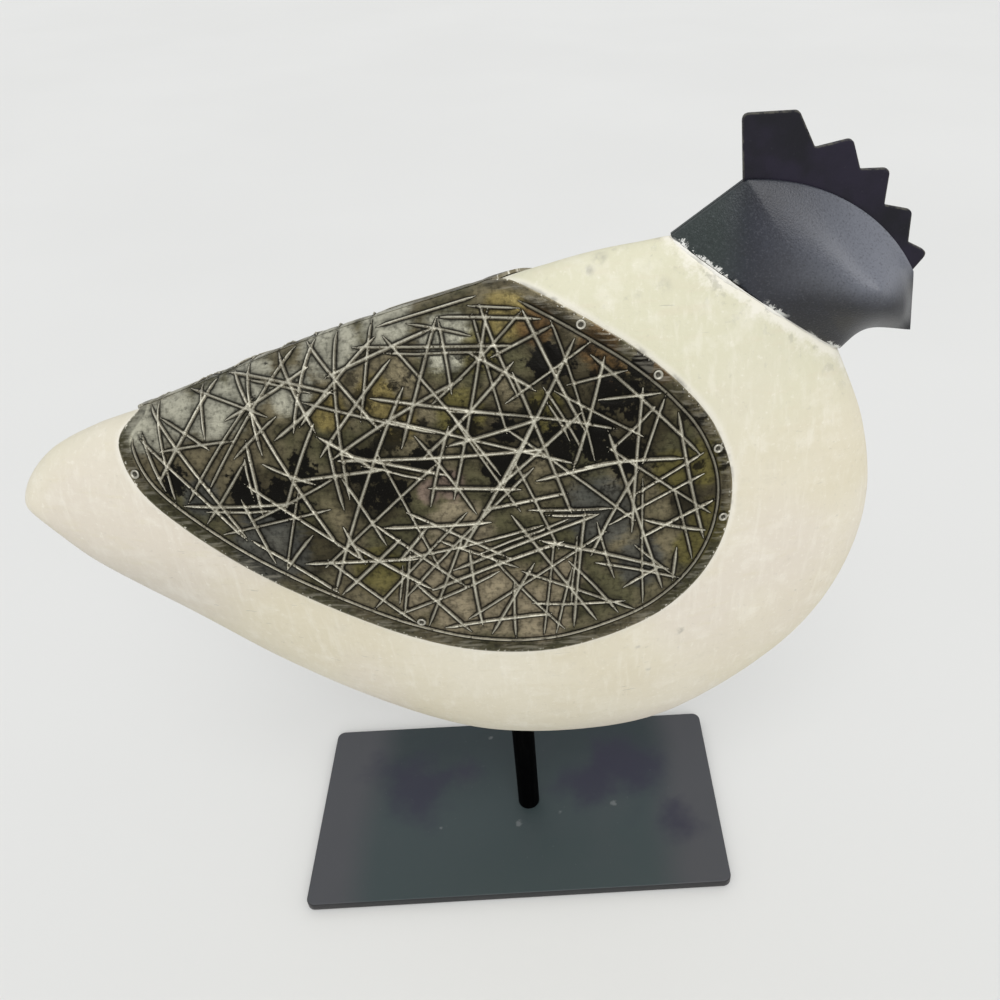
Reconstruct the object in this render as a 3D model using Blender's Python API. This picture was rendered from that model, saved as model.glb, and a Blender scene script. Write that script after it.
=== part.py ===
"""Rooster statue: a carved wooden bird with nailed metal wings and a pressed steel head, on a rod and plate.

The beak points along +X, up is +Z, and the origin is the centre of the plate's underside. Units are metres.
Outlines of the bird are shares of its body length, seen from the side, from the tail's tip and the belly's
lowest point. The comb's steps are angles in degrees about the crown's centre, and heights above it in shares.
"""

import math
import random

import bmesh
import bpy
from mathutils import Matrix, Vector
from mathutils.bvhtree import BVHTree
from mathutils.geometry import delaunay_2d_cdt

# Driving dimensions
GAP = 0.0003
PLATE_LENGTH = 0.1524
PLATE_WIDTH = 0.0762
PLATE_THICKNESS = 0.0032
PLATE_CORNER_RADIUS = 0.003
PLATE_RIM_CHAMFER = 0.0005
ROD_DIAMETER = 0.008
ROD_OFFSET = 0.0037
ROD_SOCKET_DEPTH = 0.030
ROD_CHAMFER = 0.0006
BELLY_CLEARANCE = 0.0484
BODY_LENGTH = 0.2425
BODY_THICKNESS = 0.056
HEAD_THICKNESS = 0.025
HEAD_SHEET = 0.0009
COMB_THICKNESS = 0.0012
COMB_TONGUE_DEPTH = 0.003
COMB_TIP_RADIUS = 0.0017
COMB_NOTCH_RADIUS = 0.0008
CHEEK_HEIGHT = 0.0015
CHEEK_RADIUS = 0.008
WING_SHEET = 0.0006
WING_SEAM = 0.0005
RIB_HEIGHT = 0.0007
RIB_WIDTH = 0.0017
BORDER_INSET = 0.0039
NAIL_DIAMETER = 0.0026
NAIL_HEIGHT = 0.0009
NAIL_DISH = 0.0004
NAIL_INSET = 0.0019

# The body's side view, in shares of its length
PERCH = 0.5525
BACK_LINE = [
    (0.000, 0.447), (0.007, 0.471), (0.043, 0.509), (0.1035, 0.5385), (0.166, 0.5575),
    (0.367, 0.631), (0.532, 0.6795), (0.657, 0.7155), (0.744, 0.7305),
]
UNDERSIDE = [
    (0.000, 0.447), (0.016, 0.422), (0.052, 0.359), (0.162, 0.258), (0.276, 0.1555),
    (0.389, 0.073), (0.500, 0.016), (0.613, 0.000), (0.739, 0.0145), (0.838, 0.071),
    (0.936, 0.169), (0.988, 0.280), (1.000, 0.395), (0.977, 0.502), (0.935, 0.596),
]
HALF_THICKNESS = [
    (0.00, 0.29), (0.08, 0.34), (0.20, 0.54), (0.35, 0.79),
    (0.50, 0.965), (0.65, 1.0), (0.82, 0.715), (1.00, 0.232),
]
TAIL_ROUNDING = 0.07
TAIL_CROWDING = 1.3

# The head's side view, in shares of the body's length
CROWN_CENTRE = (0.8175, 0.571)
CROWN_RADIUS = 0.2145
BROW_ANGLE = math.radians(31.0)
JAW_LINE = [(0.9525, 0.614), (0.9685, 0.619), (1.011, 0.6145)]
CORNER_STATION = 0.3
HEAD_HALF_THICKNESS = [(0.0, 0.52), (0.3, 0.76), (0.6, 1.0), (0.85, 0.74), (1.0, 0.072)]
BROW_START = 0.7
BEAK_START = 0.88
CHEEK = (0.9475, 0.689)
COMB_STEPS = [
    (92.1, 0.0612), (81.0, 0.0654), (75.3, 0.0352), (68.4, 0.0533), (63.2, 0.0308),
    (57.4, 0.0454), (52.4, 0.0158), (46.0, 0.0302), (39.6, 0.0092), (33.8, 0.0208),
]
COMB_START_ANGLE = math.radians(91.0)
COMB_TONGUE_ANGLES = (math.radians(84.0), math.radians(38.0))

# A wing's outline, seen square on from the side and above, in shares of the body's length
WING_TILT = math.radians(37.0)
WING_ENDS = (0.5635, 0.1665)
WING_EDGE = [
    (0.578, 0.548), (0.6205, 0.5255), (0.6655, 0.499), (0.710, 0.471), (0.752, 0.4375), (0.789, 0.396),
    (0.8105, 0.344), (0.809, 0.287), (0.785, 0.2335), (0.7415, 0.191), (0.6855, 0.164), (0.605, 0.1455),
    (0.523, 0.149), (0.4445, 0.1705), (0.356, 0.212), (0.2745, 0.2595), (0.2025, 0.315), (0.1645, 0.354),
    (0.148, 0.387), (0.1445, 0.413),
]
EDGE_CROWDING = 0.10
NAIL_STATIONS = [0.0805, 0.155, 0.2385, 0.303, 0.649, 0.934]
INNER_NAIL = 5
NAIL_PROFILE = [(1.0, 0.0), (1.0, 0.6), (0.8, 1.0), (0.5, 1.0)]

# The crisscross ribs, drawn from a fixed seed
RIB_SEED = 11
RIB_COUNT = 110
RIBS_IN_RELIEF = 16
RIB_LENGTHS = (0.009, 0.022, 0.058)
RIB_TURN_SPREAD = 0.008
RIB_MARGIN = 0.0012
RIB_TRIES = 10

# Fineness of the faceted surfaces
BODY_STATIONS = 32
BODY_SIDES = 36
SKIN_STATIONS = 160
SKIN_SIDES = 80
HEAD_STATIONS = 14
HEAD_ROWS = 12
EDGE_STEP = 0.0052
RIB_STEP = 0.008
NAIL_SIDES = 10
ROD_SIDES = 24


def curve_through(points, steps=24):
    """Points of a smooth curve that passes through the given 2-D points."""
    p = [Vector(q) for q in points]
    p = [2 * p[0] - p[1]] + p + [2 * p[-1] - p[-2]]
    found = []
    for a, b, c, d in zip(p, p[1:], p[2:], p[3:]):
        t1 = math.sqrt((b - a).length)
        t2 = t1 + math.sqrt((c - b).length)
        t3 = t2 + math.sqrt((d - c).length)
        for k in range(steps):
            t = t1 + (t2 - t1) * k / steps
            ab = a.lerp(b, t / t1)
            bc = b.lerp(c, (t - t1) / (t2 - t1))
            cd = c.lerp(d, (t - t2) / (t3 - t2))
            found.append(ab.lerp(bc, t / t2).lerp(bc.lerp(cd, (t - t1) / (t3 - t1)), (t - t1) / (t2 - t1)))
    return found + [p[-2].copy()]


class Line:
    """A polyline that is read by the share of its length."""

    def __init__(self, points):
        self.points = points
        self.marks = [0.0]
        for a, b in zip(points, points[1:]):
            self.marks.append(self.marks[-1] + (b - a).length)
        self.length = self.marks[-1]

    def at(self, share):
        reach = min(max(share, 0.0), 1.0) * self.length
        for k in range(1, len(self.points)):
            if reach <= self.marks[k] or k == len(self.points) - 1:
                span = self.marks[k] - self.marks[k - 1]
                return self.points[k - 1].lerp(self.points[k], (reach - self.marks[k - 1]) / span)


def smooth_value(table, x):
    """The value at x of a smooth curve through a table of (x, value)."""
    k = max(i for i in range(len(table) - 1) if x >= table[i][0] or i == 0)
    (x0, y0), (x1, y1) = table[k], table[k + 1]
    before = table[k - 1] if k > 0 else table[k]
    after = table[k + 2] if k + 2 < len(table) else table[k + 1]
    slope0 = (y1 - before[1]) / (x1 - before[0])
    slope1 = (after[1] - y0) / (after[0] - x0)
    t = (x - x0) / (x1 - x0)
    h = x1 - x0
    return (
        (2 * t**3 - 3 * t**2 + 1) * y0 + (t**3 - 2 * t**2 + t) * h * slope0
        + (3 * t**2 - 2 * t**3) * y1 + (t**3 - t**2) * h * slope1
    )


BACK = Line(curve_through(BACK_LINE))
KEEL = Line(curve_through(UNDERSIDE))


def placed(share, y=0.0):
    """The point of the bird at a side-view place in shares, y metres from its middle plane."""
    x = ROD_OFFSET + (share[0] - PERCH) * BODY_LENGTH
    z = PLATE_THICKNESS + BELLY_CLEARANCE + share[1] * BODY_LENGTH
    return Vector((x, y, z))


def station(t):
    """The section at a share t of the way: evenly spread between back and underside, closer at the tail."""
    extra = KEEL.length - BACK.length
    way = (BACK.length + extra / 2) * t**TAIL_CROWDING
    return (math.sqrt(BACK.length**2 + 2 * extra * way) - BACK.length) / extra


def body_ends(u):
    """Where section u of the body meets the back and the underside, in shares."""
    near_tail = BACK.length / KEEL.length
    return BACK.at(u), KEEL.at(near_tail * u + (1 - near_tail) * u * u)


def body_point(u, turn):
    """A point on the body: section u, turned from the back (0) down the right side to the underside (pi)."""
    top, bottom = body_ends(u)
    middle = (top + bottom) / 2
    rounding = 1 - min(u / TAIL_ROUNDING, 1.0)
    half = smooth_value(HALF_THICKNESS, u) * BODY_THICKNESS / 2 * math.sqrt(1 - rounding**2)
    return placed(middle + (top - middle) * math.cos(turn), -half * math.sin(turn))


def neck_normal():
    """The direction from the body's neck face into the head."""
    top, bottom = body_ends(1.0)
    along = (placed(bottom) - placed(top)).normalized()
    return Vector((-along.z, 0, along.x))


def underside_height(x):
    """The height of the body's underside above a place x."""
    below = [placed(p) for p in KEEL.points[: len(KEEL.points) * 2 // 3]]
    return min(below, key=lambda p: abs(p.x - x)).z


def material(name, colour, roughness, metallic):
    made = bpy.data.materials.new(name)
    made.use_nodes = True
    shader = made.node_tree.nodes["Principled BSDF"]
    shader.inputs["Base Color"].default_value = (*colour, 1.0)
    shader.inputs["Roughness"].default_value = roughness
    shader.inputs["Metallic"].default_value = metallic
    return made


def add_object(name, bm, finish, smooth_angle=None):
    """Makes a named object of a finished mesh."""
    bmesh.ops.recalc_face_normals(bm, faces=bm.faces)
    mesh = bpy.data.meshes.new(name)
    bm.to_mesh(mesh)
    bm.free()
    mesh.materials.append(finish)
    if smooth_angle is not None:
        mesh.shade_smooth()
        mesh.set_sharp_from_angle(angle=smooth_angle)
    made = bpy.data.objects.new(name, mesh)
    bpy.context.scene.collection.objects.link(made)
    return made


def cut(target, cutter):
    """Cuts a hidden guide out of a piece."""
    cutter.hide_render = True
    cutter.display_type = "WIRE"
    made = target.modifiers.new("cut " + cutter.name, "BOOLEAN")
    made.operation = "DIFFERENCE"
    made.solver = "EXACT"
    made.object = cutter


def upright_cylinder(name, x, low, high, radius, chamfer, finish):
    bm = bmesh.new()
    place = Matrix.Translation((x, 0, (low + high) / 2))
    bmesh.ops.create_cone(
        bm, cap_ends=True, segments=ROD_SIDES, radius1=radius, radius2=radius, depth=high - low, matrix=place
    )
    if chamfer:
        rims = [e for e in bm.edges if abs(e.verts[0].co.z - e.verts[1].co.z) < GAP]
        bmesh.ops.bevel(bm, geom=rims, offset=chamfer, segments=1, affect="EDGES")
    return add_object(name, bm, finish, math.radians(40))


def make_base_plate(finish):
    bm = bmesh.new()
    size = Matrix.Diagonal((PLATE_LENGTH, PLATE_WIDTH, PLATE_THICKNESS, 1))
    bmesh.ops.create_cube(bm, size=1.0, matrix=Matrix.Translation((0, 0, PLATE_THICKNESS / 2)) @ size)
    upright = [e for e in bm.edges if abs(e.verts[0].co.z - e.verts[1].co.z) > PLATE_THICKNESS / 2]
    bmesh.ops.bevel(bm, geom=upright, offset=PLATE_CORNER_RADIUS, segments=5, affect="EDGES", profile=0.5)
    top = [e for e in bm.edges if min(v.co.z for v in e.verts) > PLATE_THICKNESS / 2]
    bmesh.ops.bevel(bm, geom=top, offset=PLATE_RIM_CHAMFER, segments=1, affect="EDGES")
    return add_object("base_plate", bm, finish)


def make_body(finish, guide):
    """The carved body: sections from the tail's tip to the flat neck face, with the rod's blind socket."""
    bm = bmesh.new()
    tip = bm.verts.new(body_point(0.0, 0.0))
    rings = []
    for i in range(1, BODY_STATIONS + 1):
        u = station(i / BODY_STATIONS)
        rings.append([bm.verts.new(body_point(u, 2 * math.pi * j / BODY_SIDES)) for j in range(BODY_SIDES)])
    for j in range(BODY_SIDES):
        k = (j + 1) % BODY_SIDES
        bm.faces.new((tip, rings[0][j], rings[0][k]))
        for near, far in zip(rings, rings[1:]):
            bm.faces.new((near[j], far[j], far[k], near[k]))
    bm.faces.new(rings[-1])
    body = add_object("body", bm, finish, math.radians(40))
    floor = underside_height(ROD_OFFSET)
    mouth = floor - BELLY_CLEARANCE / 2
    radius = ROD_DIAMETER / 2 + GAP
    cut(body, upright_cylinder("rod socket", ROD_OFFSET, mouth, floor + ROD_SOCKET_DEPTH, radius, 0, guide))
    return body


def make_rod(finish):
    low = PLATE_THICKNESS + GAP
    high = underside_height(ROD_OFFSET) + ROD_SOCKET_DEPTH - GAP
    return upright_cylinder("rod", ROD_OFFSET, low, high, ROD_DIAMETER / 2, ROD_CHAMFER, finish)


def head_ends(u):
    """Where section u of the head meets the crown's seam and the jaw's edge, in shares."""
    neck_top, neck_bottom = body_ends(1.0)
    lift = neck_normal() * GAP / BODY_LENGTH
    lift = Vector((lift.x, lift.z))
    corner = Vector(CROWN_CENTRE) + Vector((0, CROWN_RADIUS))
    if u < CORNER_STATION:
        top = (neck_top + lift).lerp(corner, u / CORNER_STATION)
    else:
        turn = math.pi / 2 + (BROW_ANGLE - math.pi / 2) * (u - CORNER_STATION) / (1 - CORNER_STATION)
        top = Vector(CROWN_CENTRE) + CROWN_RADIUS * Vector((math.cos(turn), math.sin(turn)))
    jaw = Line(curve_through([neck_bottom + lift] + JAW_LINE))
    return top, jaw.at(u * u)


def head_half(u, v, place):
    """The head's half thickness at section u, a share v of the way from the crown's seam down to the jaw."""
    seam = COMB_THICKNESS / 2 + GAP + HEAD_SHEET
    narrowing = min(max((u - BEAK_START) / (1 - BEAK_START), 0.0), 1.0)
    lip = (seam * (1 - narrowing) + HEAD_SHEET * narrowing) * (1 - v) + HEAD_SHEET * v
    full = max(smooth_value(HEAD_HALF_THICKNESS, u) * HEAD_THICKNESS / 2, lip)
    oval = 2 * math.sqrt(max(v * (1 - v), 0.0))
    tent = max(math.sin(math.pi * v), 0.0) ** 0.8
    mix = min(u / BROW_START, 1.0)
    bulge = oval * (1 - mix) + tent * mix
    away = (placed(place) - placed(CHEEK)).length / CHEEK_RADIUS
    cheek = CHEEK_HEIGHT * max(1 - away, 0.0) ** 1.5
    return lip + (full - lip) * bulge + cheek * oval


def make_head(finish, guide):
    """The pressed head: two halves meeting in a seam, which is open along the crown for the comb's tongue."""
    bm = bmesh.new()
    grid = []
    for i in range(HEAD_STATIONS + 1):
        u = i / HEAD_STATIONS
        top, bottom = head_ends(u)
        near, far = [], []
        for j in range(HEAD_ROWS + 1):
            v = (1 - math.cos(math.pi * j / HEAD_ROWS)) / 2
            place = top.lerp(bottom, v)
            half = head_half(u, v, place)
            near.append(bm.verts.new(placed(place, -half)))
            far.append(bm.verts.new(placed(place, half)))
        grid.append(near + far[::-1])
    around = len(grid[0])
    for one, other in zip(grid, grid[1:]):
        for j in range(around):
            k = (j + 1) % around
            bm.faces.new((one[j], other[j], other[k], one[k]))
    for end in (grid[0], grid[-1]):
        for j in range(HEAD_ROWS):
            bm.faces.new((end[j], end[j + 1], end[around - 2 - j], end[around - 1 - j]))
    head = add_object("head", bm, finish, math.radians(40))
    radius = CROWN_RADIUS * BODY_LENGTH
    spread = GAP / radius
    start, end = COMB_TONGUE_ANGLES
    band = crown_arc(radius - COMB_TONGUE_DEPTH - GAP, start + spread, end - spread)
    band += crown_arc(radius + COMB_TONGUE_DEPTH, end - spread, start + spread)
    groove = flat_piece("comb groove", band, COMB_THICKNESS + 2 * GAP, guide)
    cut(head, groove)
    return head


def crown_point(radius, turn):
    """The side-view point (x, z) in metres at a distance and an angle from the crown's centre."""
    centre = placed(CROWN_CENTRE)
    return Vector((centre.x + radius * math.cos(turn), centre.z + radius * math.sin(turn)))


def crown_arc(radius, start, end, steps=16):
    """Side-view points on an arc about the crown's centre."""
    return [crown_point(radius, start + (end - start) * k / steps) for k in range(steps + 1)]


def rounded(points, tip_radius, notch_radius, steps=4):
    """A closed outline, given clockwise, with its tips and notches rounded."""
    found = []
    for k, corner in enumerate(points):
        back = points[k - 1] - corner
        ahead = points[(k + 1) % len(points)] - corner
        turn = back.normalized().cross(ahead.normalized())
        half = back.angle(ahead) / 2
        radius = tip_radius if turn > 0 else notch_radius
        reach = min(radius / math.tan(half), back.length * 0.45, ahead.length * 0.45)
        start = corner + back.normalized() * reach
        end = corner + ahead.normalized() * reach
        for s in range(steps + 1):
            t = s / steps
            found.append(start.lerp(corner, t).lerp(corner.lerp(end, t), t))
    return found


def flat_piece(name, outline, thickness, finish):
    """A plate of one thickness, standing in the bird's middle plane."""
    bm = bmesh.new()
    verts = [bm.verts.new((p.x, -thickness / 2, p.y)) for p in outline]
    face = bm.faces.new(verts)
    grown = bmesh.ops.extrude_face_region(bm, geom=[face])
    moved = [g for g in grown["geom"] if isinstance(g, bmesh.types.BMVert)]
    bmesh.ops.translate(bm, verts=moved, vec=(0, thickness, 0))
    return add_object(name, bm, finish)


def make_comb(finish):
    """The stepped comb, with its foot on the crown and its tongue in the seam."""
    radius = CROWN_RADIUS * BODY_LENGTH
    start, end = COMB_TONGUE_ANGLES
    teeth = [crown_point(radius + rise * BODY_LENGTH, math.radians(turn)) for turn, rise in COMB_STEPS]
    foot = crown_arc(radius + GAP, COMB_START_ANGLE, BROW_ANGLE, 1)
    steps = rounded([foot[0]] + teeth + [foot[1]], COMB_TIP_RADIUS, COMB_NOTCH_RADIUS)
    steps = [foot[0]] + steps[5:-5] + [foot[1]]
    sole = crown_arc(radius + GAP, BROW_ANGLE, end, 3)[1:]
    tongue = crown_arc(radius - COMB_TONGUE_DEPTH, end, start)
    heel = crown_arc(radius + GAP, start, COMB_START_ANGLE, 3)[:-1]
    return flat_piece("comb", steps + sole + tongue + heel, COMB_THICKNESS, finish)


class Skin:
    """The body's right side as a fine surface, read square on to the wing."""

    def __init__(self):
        width = SKIN_SIDES + 3
        turns = [math.pi * (j - 2) / SKIN_SIDES for j in range(width)]
        verts = [body_point(station(i / SKIN_STATIONS), t) for i in range(SKIN_STATIONS + 1) for t in turns]
        faces = [
            (i * width + j, (i + 1) * width + j, (i + 1) * width + j + 1, i * width + j + 1)
            for i in range(1, SKIN_STATIONS)
            for j in range(width - 1)
        ]
        self.tree = BVHTree.FromPolygons(verts, faces)
        self.up = Vector((0, math.sin(WING_TILT), math.cos(WING_TILT)))
        self.into = Vector((0, math.cos(WING_TILT), -math.sin(WING_TILT)))

    def flat(self, point):
        """The place in the wing's plane of a point on the body."""
        return Vector((point.x, point.dot(self.up)))

    def seam(self, share):
        """The place in the wing's plane of the ridge's seam, a share of the body's length from the tail."""
        low, high = next((a, b) for a, b in zip(BACK.points, BACK.points[1:]) if b.x >= share)
        ridge = placed(low.lerp(high, (share - low.x) / (high.x - low.x)))
        return self.flat(Vector((ridge.x, -WING_SEAM / 2, ridge.z)))

    def lifted(self, place, height):
        """The point a height above the body's surface at a place in the wing's plane, short of the seam."""
        start = Vector((place.x, 0, 0)) + self.up * place.y - self.into * BODY_LENGTH
        point, normal, _, _ = self.tree.ray_cast(start, self.into)
        if point is None:
            point, normal, _, _ = self.tree.find_nearest(start + self.into * BODY_LENGTH)
        if normal.dot(self.into) > 0:
            normal = -normal
        point = point + normal * height
        point.y = min(point.y, -WING_SEAM / 2)
        return point


def share_to_plane(skin, share):
    """Turns an outline point in shares into a place in the wing's plane."""
    origin = skin.flat(placed((0, 0)))
    return origin + Vector(share) * BODY_LENGTH


def wing_outline(skin):
    """The sheet's outline in the wing's plane: round the front, bottom and tail, and back along the seam."""
    front, tail = WING_ENDS
    edge = [skin.seam(front)] + [share_to_plane(skin, p) for p in WING_EDGE] + [skin.seam(tail)]
    line = Line(curve_through(edge))
    count = max(round(line.length / EDGE_STEP), 8)
    shares = [k / count for k in range(count + 1)]
    loop = [line.at(t - EDGE_CROWDING * math.sin(2 * math.pi * t)) for t in shares]
    count = max(round(abs(loop[0].x - loop[-1].x) / EDGE_STEP), 4)
    ridge = [skin.seam(tail + (front - tail) * k / count) for k in range(1, count)]
    return line, (loop + ridge)[::-1]


def distance_to(place, start, end):
    along = end - start
    t = min(max((place - start).dot(along) / along.length_squared, 0.0), 1.0)
    return (place - start - along * t).length


def distance_to_loop(place, loop):
    return min(distance_to(place, loop[k - 1], loop[k]) for k in range(len(loop)))


def inside(place, loop):
    """Whether a place is inside a closed outline."""
    found = False
    for k in range(len(loop)):
        a, b = loop[k - 1], loop[k]
        if (a.y > place.y) != (b.y > place.y) and place.x < a.x + (b.x - a.x) * (place.y - a.y) / (b.y - a.y):
            found = not found
    return found


def inset_loop(loop, inset):
    """A closed outline moved inwards, with the folded corners left out."""
    found = []
    for k in range(len(loop)):
        along = (loop[(k + 1) % len(loop)] - loop[k - 1]).normalized()
        place = loop[k] + Vector((-along.y, along.x)) * inset
        if inside(place, loop) and distance_to_loop(place, loop) > inset * 0.97:
            found.append(place)
    return found


def draw_ribs(loop):
    """Crisscross ribs inside the border, spread evenly in place and in turn, each a pair of end places."""
    dice = random.Random(RIB_SEED)
    field = inset_loop(loop, BORDER_INSET + RIB_MARGIN)
    low = Vector((min(p.x for p in field), min(p.y for p in field)))
    high = Vector((max(p.x for p in field), max(p.y for p in field)))
    shortest, usual, longest = RIB_LENGTHS
    marks, ribs = [], []
    while len(ribs) < RIB_COUNT:
        tries = []
        while len(tries) < RIB_TRIES:
            middle = Vector((dice.uniform(low.x, high.x), dice.uniform(low.y, high.y)))
            turn = dice.uniform(0, math.pi)
            if not inside(middle, field):
                continue
            ray = Vector((math.cos(turn), math.sin(turn)))
            reach = dice.triangular(shortest, longest, usual) / 2
            ends = []
            for way in (-reach, reach):
                part = 1.0
                while part > 0 and not inside(middle + ray * way * part, field):
                    part -= 0.05
                ends.append(middle + ray * way * part)
            if (ends[1] - ends[0]).length > shortest:
                middle = (ends[0] + ends[1]) / 2
                side = Vector((math.cos(2 * turn), math.sin(2 * turn))) * RIB_TURN_SPREAD
                tries.append((Vector((*middle, *side)), tuple(ends)))
        mark, rib = max(tries, key=lambda t: min([(t[0] - m).length for m in marks] or [0.0]))
        marks.append(mark)
        ribs.append(rib)
    return ribs


def rib_lines(start, end):
    """A rib's crest and its two feet, in stretches short enough to follow the body's curve."""
    across = (end - start).normalized() * RIB_WIDTH / 2
    across = Vector((-across.y, across.x))
    count = math.ceil((end - start).length / RIB_STEP)
    found = []
    for shift in (Vector((0, 0)), across, -across):
        row = [start.lerp(end, k / count) + shift for k in range(count + 1)]
        found += list(zip(row, row[1:]))
    return found


def body_rows(skin, loop):
    """Places over the body's own vertices inside an outline, row by row along the body."""
    rows = []
    for j in range(1, BODY_SIDES // 2):
        turn = 2 * math.pi * j / BODY_SIDES
        row = [skin.flat(body_point(station(i / BODY_STATIONS), turn)) for i in range(1, BODY_STATIONS + 1)]
        rows.append([place for place in row if inside(place, loop) and distance_to_loop(place, loop) > GAP])
    return [row for row in rows if row]


def clear_of(places, lines):
    return [p for p in places if all(distance_to(p, a, b) > RIB_WIDTH * 0.6 for a, b in lines)]


def triangulated(loop, lines, places):
    """Triangles inside an outline that keep the given lines, as places and index triples."""
    verts = list(loop)
    edges = [(k, (k + 1) % len(loop)) for k in range(len(loop))]
    for a, b in lines:
        edges.append((len(verts), len(verts) + 1))
        verts += [a, b]
    made, _, faces, _, _, _ = delaunay_2d_cdt(verts + places, edges, [], 1, 1e-6)
    return made, [f for f in faces if inside((made[f[0]] + made[f[1]] + made[f[2]]) / 3, loop)]


def make_wing(name, side, skin, finish):
    """One embossed sheet over the body's side; side is -1 for the bird's right and 1 for its left."""
    line, loop = wing_outline(skin)
    ribs = sorted(draw_ribs(loop), key=lambda r: -(r[1] - r[0]).length)[:RIBS_IN_RELIEF]
    border = inset_loop(loop, BORDER_INSET)
    crests = ribs + [(border[k - 1], border[k]) for k in range(len(border))]
    lines = [s for r in ribs for s in rib_lines(*r)] + crests[len(ribs):]
    for inset in (BORDER_INSET - RIB_WIDTH / 2, BORDER_INSET + RIB_WIDTH / 2):
        foot = inset_loop(loop, inset)
        lines += [(foot[k - 1], foot[k]) for k in range(len(foot))]
    bm = bmesh.new()

    def lay(places, faces, height_at):
        verts = []
        for place in places:
            point = skin.lifted(place, height_at(place))
            verts.append(bm.verts.new((point.x, -point.y * side, point.z)))
        for f in faces:
            bm.faces.new([verts[k] for k in f])
        return verts

    def relief(place):
        away = min(distance_to(place, a, b) for a, b in crests)
        return GAP + WING_SHEET + RIB_HEIGHT * max(1 - away / (RIB_WIDTH / 2), 0.0)

    rows = body_rows(skin, loop)
    along = [pair for row in rows for pair in zip(row, row[1:])]
    places = [place for row in rows for place in row]
    outer = lay(*triangulated(loop, lines, clear_of(places, lines)), relief)
    inner = lay(*triangulated(loop, along, [row[0] for row in rows if len(row) == 1]), lambda place: GAP)
    for k in range(len(loop)):
        n = (k + 1) % len(loop)
        bm.faces.new((outer[k], outer[n], inner[n], inner[k]))
    return add_object(name, bm, finish), line


def make_nails(skin, line, finish):
    """Dished nail heads along each sheet's edge; one of them sits inside the border."""
    for number, share in enumerate(NAIL_STATIONS, start=1):
        inset = BORDER_INSET + NAIL_INSET if number == INNER_NAIL else NAIL_INSET
        along = (line.at(share + 0.01) - line.at(share - 0.01)).normalized()
        inwards = Vector((along.y, -along.x))
        place = line.at(share) + inwards * inset
        seat = skin.lifted(place, 2 * GAP + WING_SHEET)
        axis = (skin.lifted(place, BODY_LENGTH * 0.1) - seat).normalized()
        for side, word in ((-1, "right"), (1, "left")):
            mirror = Matrix.Diagonal((1, -side, 1, 1))
            frame = Matrix.Translation(seat) @ axis.to_track_quat("Z", "Y").to_matrix().to_4x4()
            make_nail(f"nail_{word}_{number}", mirror @ frame, finish)


def make_nail(name, frame, finish):
    bm = bmesh.new()
    turns = [2 * math.pi * k / NAIL_SIDES for k in range(NAIL_SIDES)]
    rings = []
    for width, height in NAIL_PROFILE:
        r = width * NAIL_DIAMETER / 2
        rings.append([bm.verts.new((r * math.cos(t), r * math.sin(t), height * NAIL_HEIGHT)) for t in turns])
    for low, high in zip(rings, rings[1:]):
        for k in range(NAIL_SIDES):
            n = (k + 1) % NAIL_SIDES
            bm.faces.new((low[k], low[n], high[n], high[k]))
    bm.faces.new(rings[0])
    dish = bm.verts.new((0, 0, NAIL_HEIGHT - NAIL_DISH))
    for k in range(NAIL_SIDES):
        bm.faces.new((rings[-1][k], rings[-1][(k + 1) % NAIL_SIDES], dish))
    bmesh.ops.transform(bm, matrix=frame, verts=bm.verts)
    return add_object(name, bm, finish)


def main():
    for old in list(bpy.data.objects):
        bpy.data.objects.remove(old)
    black = material("black paint", (0.02, 0.02, 0.022), 0.45, 0.0)
    cream = material("cream paint on wood", (0.80, 0.76, 0.66), 0.6, 0.0)
    pewter = material("patinated sheet", (0.30, 0.28, 0.22), 0.35, 0.9)
    steel = material("nail steel", (0.35, 0.34, 0.32), 0.4, 1.0)
    guide = material("guide", (1.0, 0.2, 0.1), 0.5, 0.0)
    make_base_plate(black)
    make_rod(black)
    make_body(cream, guide)
    make_head(black, guide)
    make_comb(black)
    skin = Skin()
    make_wing("wing_right", -1, skin, pewter)
    _, line = make_wing("wing_left", 1, skin, pewter)
    make_nails(skin, line, steel)


main()
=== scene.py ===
"""Looks of the rooster statue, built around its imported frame.

A carved wooden bird in cream paint carries an embossed, patinated metal sheet on each side and a pressed
black steel head with a stepped comb, and it stands on a rod and a flat plate. Lengths are metres in the
frame's own axes: the beak points along +X, +Z is up, and the origin is the centre of the plate's underside.
Outlines of the bird are shares of its body's length, seen from the side, from the tail's tip and the belly's
lowest point.
"""

from __future__ import annotations

import logging
import math
import random
from collections.abc import Callable, Iterable, Sequence
from dataclasses import dataclass, field, replace
from enum import Enum

import bpy
import numpy as np
from mathutils import Matrix, Vector, noise
from mathutils.bvhtree import BVHTree
from mathutils.geometry import delaunay_2d_cdt
from mathutils.interpolate import poly_3d_calc

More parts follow.
